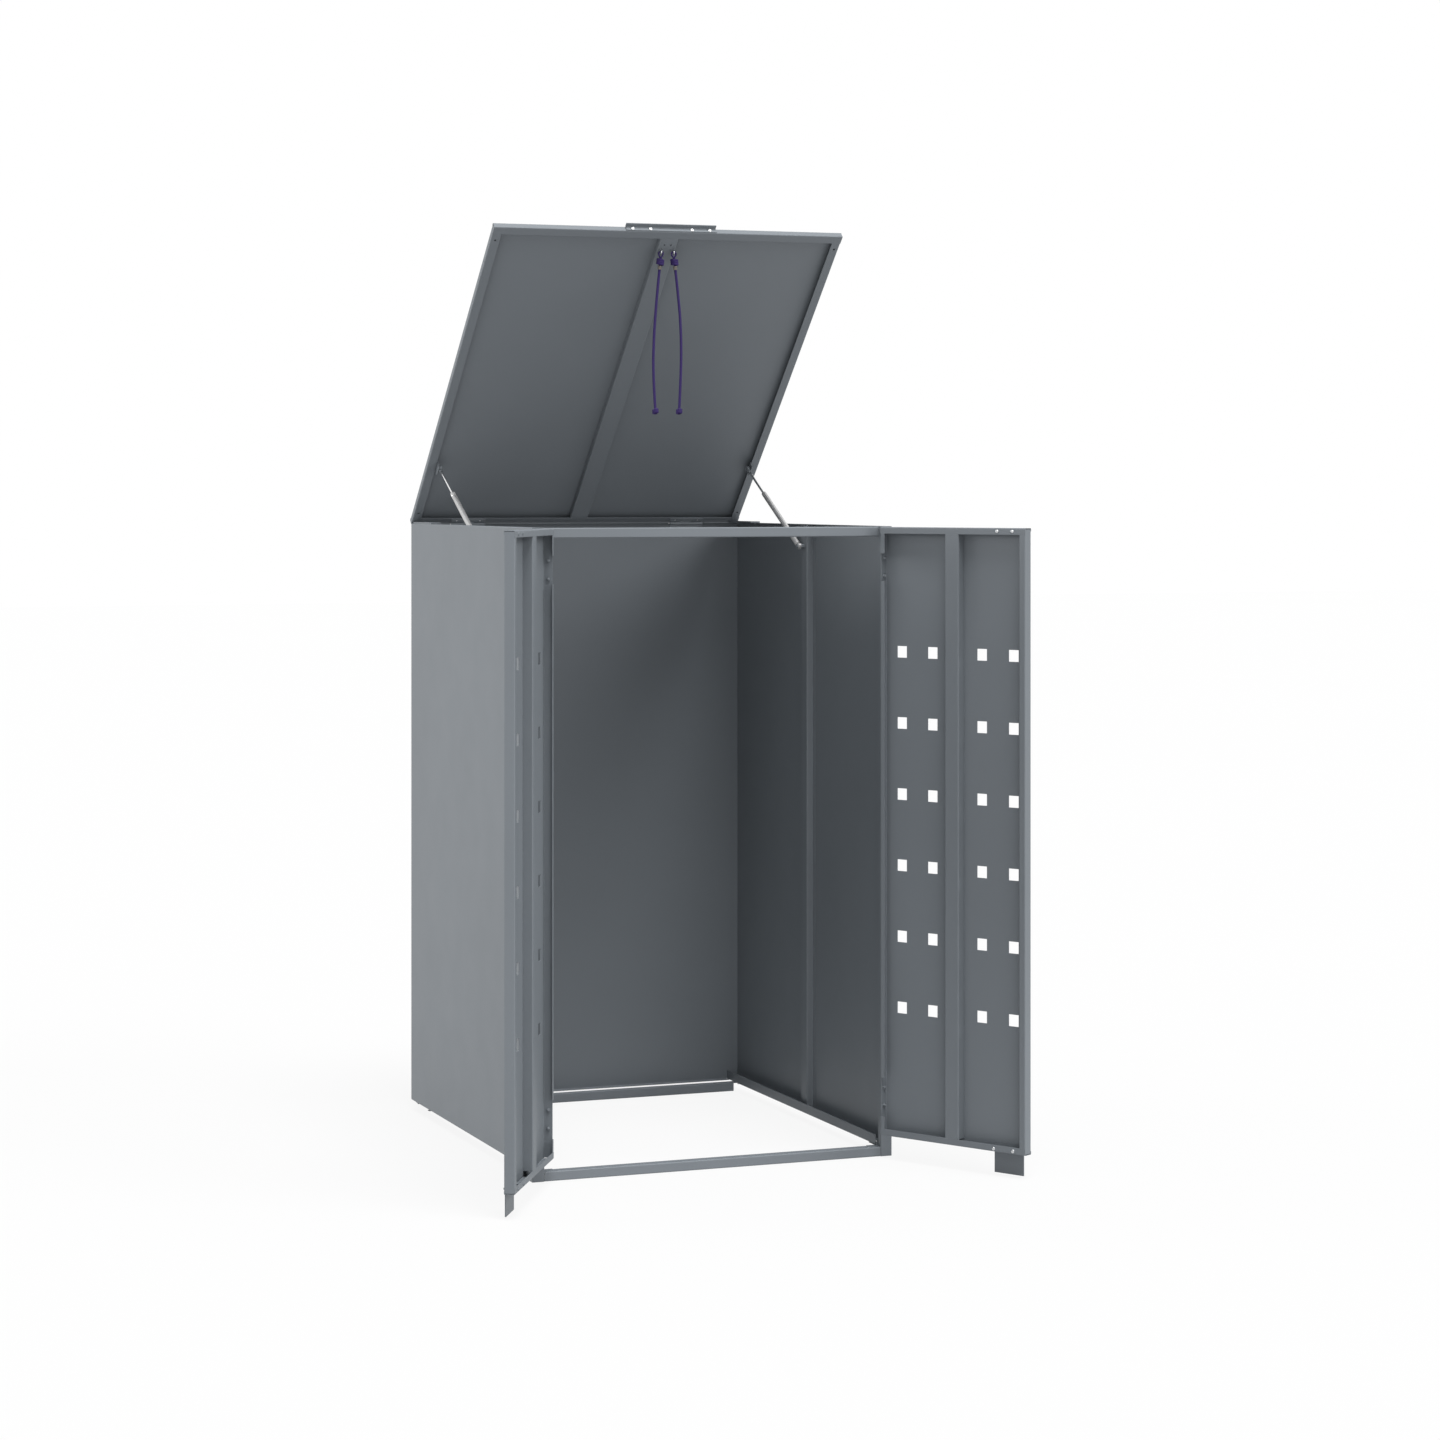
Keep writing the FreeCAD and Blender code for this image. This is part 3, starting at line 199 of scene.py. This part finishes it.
# Gas struts, in millimetres; outlines are pairs of radius and height
STRUT_X = 320.5
STRUT_FOOT = (377.5, 1108.6)
STRUT_HEAD = (647.91, 1258.14)
TUBE_RADIUS = 5.0
TUBE_LENGTH = 210.0
TUBE_BORE = 4.0
TUBE_FLOOR = 12.0
TUBE_NECK = ((0.0, 4.7), (2.3, 4.7), (2.3, 8.5), (3.6, 8.5), (4.6, 9.3), (TUBE_RADIUS, 11.0))
GLAND = TUBE_LENGTH - 12.0
GROOVE_RADIUS = 4.6
GROOVE_HALF = 0.6
GROOVE_SHOULDER = 1.5
ROLL_START = 1.6
ROLL_EDGE = 0.5
ROLL_RADIUS = 3.9
ROD_PASSAGE = 2.55
ROD_RADIUS = 2.5
ROD_LENGTH = 190.0
PISTON = ((0.0, 0.0), (3.6, 0.0), (3.9, 0.3), (3.9, 5.7), (3.6, 6.0), (ROD_RADIUS, 6.0))
NECK_LENGTH = 12.0
NECK_CHAMFER = 0.6
NECK_RADIUS = 3.1
NECK_TOP = ((NECK_RADIUS, -6.5), (2.4, -4.7), (0.0, -4.7))
STUD_HOLE = 3.05
EYE_RING = ((STUD_HOLE, -2.7), (3.4, -3.0), (5.4, -3.0), (6.0, -2.4),
            (6.0, 2.4), (5.4, 3.0), (3.4, 3.0), (STUD_HOLE, 2.7))

# Back base rail, in metres: half its channel's length, and the underside of the tabs beside it
RAIL_CHANNEL_HALF = 0.3195
RAIL_TAB_LOW = 0.0160


def make_camera():
    """Put the camera where the photograph was taken from."""
    data = bpy.data.cameras.new("camera")
    data.sensor_width = SENSOR
    data.lens = SENSOR * FOCAL_PIXELS / PHOTO_SIZE
    data.shift_y = -(PHOTO_SIZE / 2 - HORIZON_PIXEL) / PHOTO_SIZE
    camera = bpy.data.objects.new("camera", data)
    camera.location = CAMERA_PLACE
    camera.rotation_euler = (math.pi / 2, 0, -CAMERA_YAW)
    SCENE.collection.objects.link(camera)
    SCENE.camera = camera


# Finishes

class Shader:
    """Small helper that adds and links nodes of one material."""

    def __init__(self, name):
        self.material = bpy.data.materials.new(name)
        self.material.use_nodes = True
        self.tree = self.material.node_tree
        self.surface = self.tree.nodes["Principled BSDF"]
        self.place = self.tree.nodes.new("ShaderNodeTexCoord").outputs["Object"]

    def join(self, value, socket):
        """Link a value that is a socket, or set it."""
        if isinstance(value, bpy.types.NodeSocket):
            self.tree.links.new(value, socket)
        else:
            socket.default_value = value

    def node(self, kind, values=None, **settings):
        """A new node with its settings and its socket values or links."""
        made = self.tree.nodes.new(kind)
        for key, value in settings.items():
            setattr(made, key, value)
        for key, value in (values or {}).items():
            self.join(value, made.inputs[key])
        return made

    def noise(self, scale, detail=2.0, rough=0.5):
        """Noise value of the object's own space, scale in cycles per metre."""
        values = {"Vector": self.place, "Scale": scale, "Detail": detail, "Roughness": rough}
        return self.node("ShaderNodeTexNoise", values).outputs["Fac"]

    def ramp(self, value, low, high, start=0.0, end=1.0):
        """Map a value from start to end onto low to high."""
        values = {"Value": value, "From Min": start, "From Max": end, "To Min": low, "To Max": high}
        return self.node("ShaderNodeMapRange", values).outputs["Result"]

    def math(self, operation, first, second):
        """Arithmetic of two values."""
        return self.node("ShaderNodeMath", {0: first, 1: second}, operation=operation).outputs["Value"]

    def mix(self, factor, first, second):
        """Blend two colours."""
        made = self.node("ShaderNodeMix", data_type="RGBA")
        colour = [s for s in made.inputs if s.type == "RGBA"]
        self.join(factor, made.inputs["Factor"])
        self.join(first, colour[0])
        self.join(second, colour[1])
        return next(s for s in made.outputs if s.type == "RGBA")

    def bump(self, height, strength, distance, normal=None):
        """Normal bent by a height value."""
        values = {"Height": height, "Strength": strength, "Distance": distance}
        if normal is not None:
            values["Normal"] = normal
        return self.node("ShaderNodeBump", values).outputs["Normal"]

    def finish(self, **inputs):
        """Set the surface's sockets and return the material."""
        for key, value in inputs.items():
            self.join(value, self.surface.inputs[key.replace("_", " ")])
        return self.material


def grey(level, cool=0.0):
    """A grey, with cool above zero for a bluer one."""
    return (level * (1 - cool), level, level * (1 + cool), 1.0)


def powder_coat():
    """Satin grey powder coat: fine orange peel, faint cloudiness, softened lighter folds."""
    s = Shader("powder_coat")
    cloud = s.ramp(s.noise(CLOUD_SCALE, 3.0), 0.0, 1.0, CLOUD_FROM, CLOUD_TO)
    base = s.mix(cloud, grey(PAINT_DARK, PAINT_COOL), grey(PAINT_LIGHT, PAINT_COOL))
    speck = s.ramp(s.noise(SPECK_SCALE, 1.0), 0.0, SPECK_SHARE)
    tinted = s.mix(speck, base, grey(SPECK_LEVEL, WORN_COOL))
    bevel = s.node("ShaderNodeBevel", {"Radius": EDGE_RADIUS}, samples=EDGE_SAMPLES)
    plain = s.node("ShaderNodeNewGeometry").outputs["True Normal"]
    facing = s.node("ShaderNodeVectorMath", {0: bevel.outputs["Normal"], 1: plain},
                    operation="DOT_PRODUCT").outputs["Value"]
    edge = s.ramp(facing, 0.0, EDGE_SHARE, EDGE_FROM, EDGE_TO)
    colour = s.mix(edge, tinted, grey(EDGE_LEVEL, WORN_COOL))
    peel = s.bump(s.noise(PEEL_SCALE, 2.0, PEEL_ROUGHNESS), PEEL_STRENGTH, PEEL_DEPTH,
                  bevel.outputs["Normal"])
    normal = s.bump(s.noise(GRAIN_SCALE, 1.0), GRAIN_STRENGTH, GRAIN_DEPTH, peel)
    rough = s.ramp(s.noise(SHINE_SCALE, 3.0), *PAINT_ROUGHNESS)
    return s.finish(Base_Color=colour, Roughness=rough, Normal=normal, Specular_IOR_Level=PAINT_SPECULAR)


def metal(name, metallic, blotches, colours, shine, grain):
    """Metal in two blotched tones, with uneven roughness and a fine grain in its surface.

    blotches: noise scale and detail; colours: the two tones; shine: noise scale, lowest and highest
    roughness; grain: noise scale, strength and depth.
    """
    s = Shader(name)
    colour = s.mix(s.noise(*blotches), *colours)
    rough = s.ramp(s.noise(shine[0]), *shine[1:])
    return s.finish(Base_Color=colour, Metallic=metallic, Roughness=rough,
                    Normal=s.bump(s.noise(grain[0]), *grain[1:]))


def braid():
    """Dark violet braided cord cover: two crossing sets of strands."""
    s = Shader("braid")
    waves = []
    for tilt in (BRAID_TILT, -BRAID_TILT):
        turned = s.node("ShaderNodeMapping", {"Vector": s.place, "Rotation": (tilt, tilt, 0)})
        values = {"Vector": turned.outputs["Vector"], "Scale": BRAID_SCALE, "Distortion": BRAID_DISTORTION}
        waves.append(s.node("ShaderNodeTexWave", values, bands_direction="Z").outputs["Fac"])
    weave = s.math("MAXIMUM", waves[0], waves[1])
    fleck = s.ramp(s.noise(FLECK_SCALE), *FLECK_SHARES)
    colour = s.mix(fleck, s.mix(weave, BRAID_DEEP, BRAID_RAISED), BRAID_FLECK)
    rough = s.ramp(s.noise(BRAID_SHINE_SCALE), *BRAID_ROUGHNESS)
    return s.finish(Base_Color=colour, Roughness=rough, Specular_IOR_Level=BRAID_SPECULAR,
                    Normal=s.bump(weave, BRAID_STRENGTH, BRAID_DEPTH))


MATERIALS = {
    "painted_sheet": powder_coat(),
    "zinc_fasteners": metal("zinc", 1.0, (260.0, 3.0), (grey(0.54, 0.02), grey(0.74, 0.01)),
                            (500.0, 0.28, 0.46), (1500.0, 0.15, 0.0002)),
    "strut_tube": metal("strut_paint", 0.55, (60.0, 2.0), (grey(0.46), grey(0.54)),
                        (300.0, 0.25, 0.36), (900.0, 0.08, 0.0002)),
    "strut_rod": metal("chrome", 1.0, (180.0, 2.0), (grey(0.78), grey(0.88)),
                       (700.0, 0.10, 0.20), (2200.0, 0.05, 0.0001)),
    "ferrule": metal("sleeve", 0.6, (300.0, 3.0), ((0.13, 0.12, 0.10, 1), (0.23, 0.21, 0.18, 1)),
                     (90.0, 0.34, 0.48), (800.0, 0.2, 0.0003)),
    "cord": braid(),
}
MATERIALS[PAINTED] = MATERIALS["painted_sheet"]
SLOTS = {part["node"]: part["material_slot"] for part in frame["record"]["subparts"]}
# The left door's bolts take the sheet's paint as painted shade; the other fasteners here are painted
SLOTS.update({node: PAINTED for node in FASTENERS_IN_PAINT_AND_PAINTED_SHADE})
BODIES = {node: body for body, nodes in frame["record"]["behaviour"]["bodies"].items() for node in nodes}


def dress_cad():
    """Give every CAD node the finish of its material slot."""
    for name, piece in NODES.items():
        piece.data.materials.clear()
        piece.data.materials.append(MATERIALS[SLOTS[name]])
        for face in piece.data.polygons:
            face.use_smooth = False


# Turned shapes

def reach(form, radius, angle):
    """Distance from the axis at an angle: round, or hexagonal with its corners at the radius."""
    if form == "round":
        return radius
    return radius * math.cos(HALF_SIDE) / math.cos((angle % (2 * HALF_SIDE)) - HALF_SIDE)


def rounds(outline):
    """Round rings of an outline of (radius, height) in millimetres."""
    return [("round", radius * MM, height * MM) for radius, height in outline]


def bridge(shape, low, high):
    """Join two rings of corners with faces."""
    for step in range(STEPS):
        after = (step + 1) % STEPS
        shape.faces.new((low[step], low[after], high[after], high[step]))


def turn(shape, profile, centre, axis, closed=False):
    """Add rings of (form, radius, height) round an axis to a mesh, and join each to the next."""
    side = axis.orthogonal().normalized()
    other = axis.cross(side)
    rings = []
    for form, radius, height in profile:
        ring = []
        for step in range(STEPS):
            angle = 2 * math.pi * step / STEPS
            out = side * math.cos(angle) + other * math.sin(angle)
            ring.append(shape.verts.new(centre + axis * height + out * reach(form, radius, angle)))
        rings.append(ring)
    pairs = list(zip(rings, rings[1:] + rings[:1]))
    for low, high in pairs if closed else pairs[:-1]:
        bridge(shape, low, high)


def put(name, shape, node, smooth_angle=SMOOTH_ANGLE, slot=None):
    """Turn a mesh in the making into a piece that stands for a CAD node, in its finish or another."""
    bmesh.ops.remove_doubles(shape, verts=shape.verts, dist=SAME_PLACE)
    bmesh.ops.recalc_face_normals(shape, faces=shape.faces)
    data = bpy.data.meshes.new(name)
    shape.to_mesh(data)
    shape.free()
    data.materials.append(MATERIALS[slot or SLOTS[node]])
    data.polygons.foreach_set("use_smooth", [True] * len(data.polygons))
    data.set_sharp_from_angle(angle=math.radians(smooth_angle))
    return stand_for(bpy.data.objects.new(name, data), node)


def stand_for(piece, node):
    """Link a piece, let it ride on the CAD node's body and hide the node."""
    SCENE.collection.objects.link(piece)
    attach(piece, BODIES[node])
    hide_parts(node)
    return piece


# Fasteners

def solids(node):
    """Corner points of each separate solid of a CAD node."""
    mesh = NODES[node].data
    keys = [tuple(round(value, SAME_PLACE_DIGITS) for value in vertex.co) for vertex in mesh.vertices]
    owner = {key: key for key in keys}

    def root(key):
        while owner[key] != key:
            key = owner[key]
        return key

    for face in mesh.polygons:
        first = root(keys[face.vertices[0]])
        for index in face.vertices:
            owner[root(keys[index])] = first
    groups = {}
    for key in owner:
        groups.setdefault(root(key), []).append(key)
    return [np.array(points) for points in groups.values()]


def odd_axis(points):
    """The axis of a turned solid: the way whose spread differs from the other two."""
    values, ways = np.linalg.eigh(np.cov(points.T))
    odd = 0 if values[1] - values[0] > values[2] - values[1] else 2
    return ways[:, odd]


def rings_of(points):
    """Seat centre, axis towards the head, and the solid's (height above the seat, radius) rings."""
    axis = odd_axis(points)
    middle = points.mean(axis=0)
    heights = (points - middle) @ axis
    radii = np.linalg.norm(points - middle - np.outer(heights, axis), axis=1)
    if np.sum(heights > heights.max() - SAME_END) < np.sum(heights < heights.min() + SAME_END):
        axis, heights = -axis, -heights
    levels = []
    for height in sorted(heights, reverse=True):
        if not levels or levels[-1] - height > SAME_LEVEL:
            levels.append(height)
    rings = [(level, radii[abs(heights - level) < SAME_LEVEL].max()) for level in levels]
    seat = rings[1][0]
    return (Vector(middle + axis * seat), Vector(axis),
            [(height - seat, radius) for height, radius in rings])


def domed_head(height, radius, socket):
    """Profile of a low dome from its middle to its rim, with a socket or a dimple of that radius."""
    floor = SOCKET_FLOOR * height
    profile = [("round", 0.0, floor), ("hex", socket, floor), ("hex", socket, SOCKET_LIP * height),
               ("round", SOCKET_RIM * socket, height)]
    for share, level in DOME:
        profile.append(("round", share * radius, level * height))
    return profile


def nut(start, end, radius):
    """Profile of a chamfered hexagonal nut between two heights, going down."""
    chamfer = NUT_CHAMFER * (start - end)
    rim = NUT_RIM * radius
    return [("round", rim, start), ("hex", radius, start - chamfer),
            ("hex", radius, end + chamfer), ("round", rim, end)]


def thread(radius, start, end):
    """Profile of screw thread between two heights, going down."""
    turns = max(2, round((start - end) / THREAD_PITCH))
    profile = []
    for step in range(turns):
        top = start + (end - start) * step / turns
        crest = top + (end - start) / turns / 2
        profile += [("round", THREAD_ROOT * radius, top), ("round", radius, crest)]
    return profile + [("round", THREAD_TIP * radius, end), ("round", 0.0, end)]


def make_bolts(node):
    """Button head bolts with hexagonal sockets, chamfered nuts and threaded ends."""
    shape = bmesh.new()
    for points in solids(node):
        seat, axis, rings = rings_of(points)
        (top, _), (_, head), (nut_top, nut_radius), (nut_low, _), (end, shank) = rings
        shank *= SHANK_SHARE
        profile = domed_head(top, head, BOLT_SOCKET * head)
        profile += [("round", shank, 0.0), ("round", shank, nut_top)]
        profile += nut(nut_top, nut_low, nut_radius) + thread(shank, nut_low, end)
        turn(shape, profile, seat, axis)
    put(node + "_detailed", shape, node)


def make_rivets(node):
    """Domed blind rivets with a dimple in the middle of the head."""
    shape = bmesh.new()
    for points in solids(node):
        seat, axis, rings = rings_of(points)
        top, head = rings[0][0], rings[1][1]
        end, shank = rings[-1]
        shank *= SHANK_SHARE
        profile = domed_head(top, head, RIVET_DIMPLE * head)
        profile += [("round", shank, 0.0), ("round", shank, end), ("round", 0.0, end)]
        turn(shape, profile, seat, axis)
    put(node + "_detailed", shape, node)


def make_fasteners():
    """Replace every bolt and rivet node by its detailed piece."""
    for node in NODES:
        if "bolts" in node:
            make_bolts(node)
        elif "rivets" in node:
            make_rivets(node)


# Gas struts

def strut_line(side):
    """Foot and head of a strut and its unit way up, in metres; side is -1 left, 1 right."""
    foot = Vector((side * STRUT_X, *STRUT_FOOT)) * MM
    head = Vector((side * STRUT_X, *STRUT_HEAD)) * MM
    return foot, head, (head - foot).normalized()


def make_tube(name, side):
    """Gas cylinder with a turned-in neck, a rolled groove, a rolled end and its lower eye."""
    foot, _, way = strut_line(side)
    groove = [(TUBE_RADIUS, GLAND - GROOVE_SHOULDER), (GROOVE_RADIUS, GLAND - GROOVE_HALF),
              (GROOVE_RADIUS, GLAND + GROOVE_HALF), (TUBE_RADIUS, GLAND + GROOVE_SHOULDER)]
    rolled = [(TUBE_RADIUS, TUBE_LENGTH - ROLL_START), (GROOVE_RADIUS, TUBE_LENGTH - ROLL_EDGE),
              (ROLL_RADIUS, TUBE_LENGTH), (ROD_PASSAGE, TUBE_LENGTH)]
    inside = [(ROD_PASSAGE, GLAND), (TUBE_BORE, GLAND), (TUBE_BORE, TUBE_FLOOR), (0.0, TUBE_FLOOR)]
    shape = bmesh.new()
    turn(shape, rounds([*TUBE_NECK, *groove, *rolled, *inside]), foot, way)
    make_ring(shape, foot)
    put(name + "_detailed", shape, name)


def make_ring(shape, centre):
    """Add the flat round eye of a strut, with its rims broken, to a mesh."""
    turn(shape, rounds(EYE_RING), centre, X_AXIS, closed=True)


def make_rod(name, side):
    """Polished rod with its piston, and the painted eye screwed on its upper end."""
    _, head, way = strut_line(side)
    piston = [(radius, height - ROD_LENGTH) for radius, height in PISTON]
    shape = bmesh.new()
    turn(shape, rounds([*piston, (ROD_RADIUS, -NECK_LENGTH), (0.0, -NECK_LENGTH)]), head, way)
    put(name + "_detailed", shape, name)
    neck = [(0.0, -NECK_LENGTH), (ROD_RADIUS, -NECK_LENGTH), (NECK_RADIUS, NECK_CHAMFER - NECK_LENGTH)]
    shape = bmesh.new()
    turn(shape, rounds([*neck, *NECK_TOP]), head, way)
    make_ring(shape, head)
    put(name + "_eye", shape, name, slot=PAINTED)


# Back base rail

def clip(shape, point, way):
    """Cut away the part of a closed mesh that lies beyond a plane, and close it again."""
    whole = shape.verts[:] + shape.edges[:] + shape.faces[:]
    cut = bmesh.ops.bisect_plane(shape, geom=whole, plane_co=point, plane_no=way, clear_outer=True)
    edges = [item for item in cut["geom_cut"] if isinstance(item, bmesh.types.BMEdge)]
    bmesh.ops.holes_fill(shape, edges=edges)


def make_back_rail():
    """Back base rail whose channel stops between the side panels, with flat tabs under their flanges."""
    node = "back_base_rail"
    right_end = X_AXIS * RAIL_CHANNEL_HALF
    left_end = -right_end
    under_tab = (UP * RAIL_TAB_LOW, -UP)
    parts = {"channel": [(right_end, X_AXIS), (left_end, -X_AXIS)],
             "tab_left": [(left_end, X_AXIS), under_tab],
             "tab_right": [(right_end, -X_AXIS), under_tab]}
    for name, planes in parts.items():
        shape = bmesh.new()
        shape.from_mesh(NODES[node].data)
        bmesh.ops.remove_doubles(shape, verts=shape.verts, dist=SAME_PLACE)
        for point, way in planes:
            clip(shape, point, way)
        put("back_rail_" + name, shape, node, RAIL_SMOOTH_ANGLE)


# Cords and hooks

def lid_point(x, y, z):
    """A point of the closed lid in millimetres, turned to the open rest position, in metres."""
    return (Matrix.Rotation(-LID_OPEN, 3, "X") @ (Vector((x, y, z)) - PIVOT) + PIVOT) * MM


def line_piece(name, points, radius, node):
    """Round tube whose centre line is a smooth spline with the points, in metres, as control points."""
    data = bpy.data.curves.new(name, "CURVE")
    data.dimensions = "3D"
    data.bevel_depth = radius
    data.bevel_resolution = BEVEL_STEPS
    data.use_fill_caps = True
    data.resolution_u = SPLINE_STEPS
    spline = data.splines.new("NURBS")
    spline.points.add(len(points) - 1)
    for point, place in zip(spline.points, points):
        point.co = (*place, 1.0)
    spline.order_u = SPLINE_ORDER
    spline.use_endpoint_u = True
    data.materials.append(MATERIALS[SLOTS[node]])
    return bpy.data.objects.new(name, data)


def make_hooks():
    """Bent wire hooks through the lid's stiffener, with rounded tips."""
    bend_y = HOOK_Y - HOOK_BEND
    bend_z = HOOK_LOW + HOOK_BEND
    path = [(HOOK_Y, LIP_TOP + HOOK_TOP), (HOOK_Y, LIP_TOP - HOOK_SHANK)]
    for step in range(HOOK_STEPS + 1):
        angle = math.pi * step / HOOK_STEPS
        path.append((bend_y + HOOK_BEND * math.cos(angle), bend_z - HOOK_BEND * math.sin(angle)))
    path.append((HOOK_Y - 2 * HOOK_BEND, bend_z + HOOK_TIP))
    shape = bmesh.new()
    for _, sign in SIDES:
        sweep(shape, [lid_point(sign * HOOK_X, y, z) for y, z in path], HOOK_WIRE * MM)
    put("cord_hooks_detailed", shape, "cord_hooks", HOOK_SMOOTH_ANGLE)


def sweep(shape, points, radius):
    """Add a round bar along points in a plane across X to a mesh, with domed ends."""
    ways = [(after - before).normalized() for before, after in zip(points, points[1:])]
    middles = [ways[0], *((a + b).normalized() for a, b in zip(ways, ways[1:])), ways[-1]]
    stations = [(point, way, 1.0) for point, way in zip(points, middles)]
    stations.insert(0, (points[0] - ways[0] * BAR_END_RISE * radius, middles[0], BAR_END_SHARE))
    stations.append((points[-1] + ways[-1] * BAR_END_RISE * radius, middles[-1], BAR_END_SHARE))
    rings = []
    for centre, way, share in stations:
        other = way.cross(X_AXIS)
        ring = []
        for step in range(STEPS):
            angle = 2 * math.pi * step / STEPS
            out = X_AXIS * math.cos(angle) + other * math.sin(angle)
            ring.append(shape.verts.new(centre + out * radius * share))
        rings.append(ring)
    for low, high in zip(rings, rings[1:]):
        bridge(shape, low, high)
    shape.faces.new(rings[0])
    shape.faces.new(rings[-1])


def knot_half(radius):
    """Half the length of a knot, from its middle to where the cord leaves it, in metres."""
    return math.sqrt(radius ** 2 - CORD_RADIUS ** 2) * MM


def wound(centre, way, radius, strand):
    """Control points of a barrel knot: wraps side by side round the cord."""
    side = way.orthogonal().normalized()
    other = way.cross(side)
    half = knot_half(radius)
    path = radius * MM - strand
    wraps = round(half / strand)
    count = WRAP_POINTS * wraps
    points = []
    for step in range(count + 1):
        angle = 2 * math.pi * step / WRAP_POINTS
        height = (half - strand) * (1 - 2 * step / count)
        points.append(centre + way * height + (side * math.cos(angle) + other * math.sin(angle)) * path)
    return points


def make_knot(name, centre, way, radius, node):
    """Wraps of the cord round itself, with the cord's own line through them."""
    strand = STRAND * MM
    wraps = line_piece(name + "_wraps", wound(centre, way, radius, strand), strand, node)
    half = way * knot_half(radius)
    core = line_piece(name + "_core", [centre - half, centre, centre + half], CORD_RADIUS * MM, node)
    return [wraps, core]


def make_cord(side_name, sign):
    """One lifting cord: eye in its hook, knot, ferrule, free stretch and end knot."""
    node = "cord_" + side_name
    knot_node = "cord_knot_" + side_name
    end_node = "cord_end_" + side_name
    route = [Vector(point) * MM for point in CORD_ROUTES[side_name]]
    rise = (route[0] - route[1]).normalized()
    fall = (route[-1] - route[-2]).normalized()
    knot_centre = route[0] + rise * (FERRULE_LENGTH * MM + knot_half(KNOT_RADIUS))
    end_centre = route[-1] + fall * knot_half(END_KNOT_RADIUS)
    upper = make_knot("knot_" + side_name, knot_centre, rise, KNOT_RADIUS, knot_node)
    eye = make_eye(side_name, sign, knot_centre + rise * knot_half(KNOT_RADIUS))
    lower = make_knot("end_knot_" + side_name, end_centre, fall, END_KNOT_RADIUS, end_node)
    for piece in upper + [eye]:
        stand_for(piece, knot_node)
    for piece in lower:
        stand_for(piece, end_node)
    sleeve_piece = make_ferrule(side_name, route[0], rise)
    line = stand_for(line_piece("cord_line_" + side_name, route, CORD_RADIUS * MM, node), node)


def make_eye(side_name, sign, base):
    """Thin loop of cord from the knot up through the hook's bend."""
    centre = lid_point(sign * HOOK_X, HOOK_Y - HOOK_BEND, HOOK_LOW + HOOK_BEND)
    drop = base - centre

    def flank(side):
        """Points of one side of the loop, from the knot up."""
        wide = X_AXIS * EYE_HALF_WIDTH * MM * side
        return [base - drop * EYE_NECK_DROP + wide * EYE_NECK_WIDTH,
                centre + drop * EYE_WIDEST + wide, centre + wide * EYE_SHOULDER]

    points = [base, *flank(-1), centre + UP * EYE_CROWN * MM, *reversed(flank(1)), base]
    return line_piece("eye_" + side_name, points, EYE_STRAND * MM, "cord_knot_" + side_name)


def make_ferrule(side_name, base, rise):
    """Crimped sleeve between the knot and the free stretch."""
    node = "cord_ferrule_" + side_name
    shape = bmesh.new()
    turn(shape, rounds(FERRULE), base, rise)
    return put(node + "_detailed", shape, node)


# Stage and light

def seen_directly(tree):
    """1 for the rays that come from the camera, straight or by way of metal or glass."""
    path = tree.nodes.new("ShaderNodeLightPath")
    direct = path.outputs["Is Camera Ray"]
    for kind in ("Is Glossy Ray", "Is Transmission Ray"):
        either = tree.nodes.new("ShaderNodeMath")
        either.operation = "MAXIMUM"
        tree.links.new(direct, either.inputs[0])
        tree.links.new(path.outputs[kind], either.inputs[1])
        direct = either.outputs["Value"]
    return direct


def mixed(tree, share, first, second, output):
    """Blend two shaders into an output node."""
    mix = tree.nodes.new("ShaderNodeMixShader")
    tree.links.new(share, mix.inputs["Fac"])
    tree.links.new(first, mix.inputs[1])
    tree.links.new(second, mix.inputs[2])
    tree.links.new(mix.outputs["Shader"], tree.nodes[output].inputs["Surface"])


def make_floor():
    """Pale floor, whitened where it is seen directly, with a faint shadow left on it."""
    bpy.ops.mesh.primitive_plane_add(size=FLOOR_SIZE, location=(0, 0, -FLOOR_DROP))
    floor = bpy.context.object
    floor.name = "floor"
    s = Shader("floor_paint")
    tone = s.mix(s.noise(FLOOR_CLOUD_SCALE), grey(FLOOR_LEVEL - FLOOR_CLOUD), grey(FLOOR_LEVEL + FLOOR_CLOUD))
    s.finish(Base_Color=tone, Roughness=FLOOR_ROUGHNESS, Specular_IOR_Level=0.0)
    white = s.node("ShaderNodeEmission", {"Color": grey(1.0)}).outputs["Emission"]
    share = s.math("MULTIPLY", seen_directly(s.tree), FLOOR_WHITE)
    mixed(s.tree, share, s.surface.outputs["BSDF"], white, "Material Output")
    floor.data.materials.append(s.material)


def make_world():
    """Even white light, and a plain white background where it is seen directly."""
    world = bpy.data.worlds.new("world")
    SCENE.world = world
    world.use_nodes = True
    tree = world.node_tree
    light = tree.nodes["Background"]
    light.inputs["Color"].default_value = grey(1.0)
    light.inputs["Strength"].default_value = WORLD_LIGHT
    white = tree.nodes.new("ShaderNodeBackground")
    white.inputs["Color"].default_value = grey(1.0)
    mixed(tree, seen_directly(tree), light.outputs["Background"], white.outputs["Background"],
          "World Output")
    SCENE.view_settings.view_transform = "Standard"


def make_suns():
    """Soft distant lamps: in front on the right, behind on the left, and above."""
    for name, (way, strength) in SUNS.items():
        data = bpy.data.lights.new(name, "SUN")
        data.angle = SUN_SPREAD
        data.energy = strength
        lamp = bpy.data.objects.new(name, data)
        lamp.rotation_euler = (-way).to_track_quat("-Z", "Y").to_euler()
        SCENE.collection.objects.link(lamp)


make_camera()
dress_cad()
for side_name, sign in SIDES:
    make_cord(side_name, sign)
make_hooks()
make_fasteners()
make_back_rail()
for side_name, sign in SIDES:
    make_tube("strut_tube_" + side_name, sign)
    make_rod("strut_rod_" + side_name, sign)
make_floor()
make_world()
make_suns()
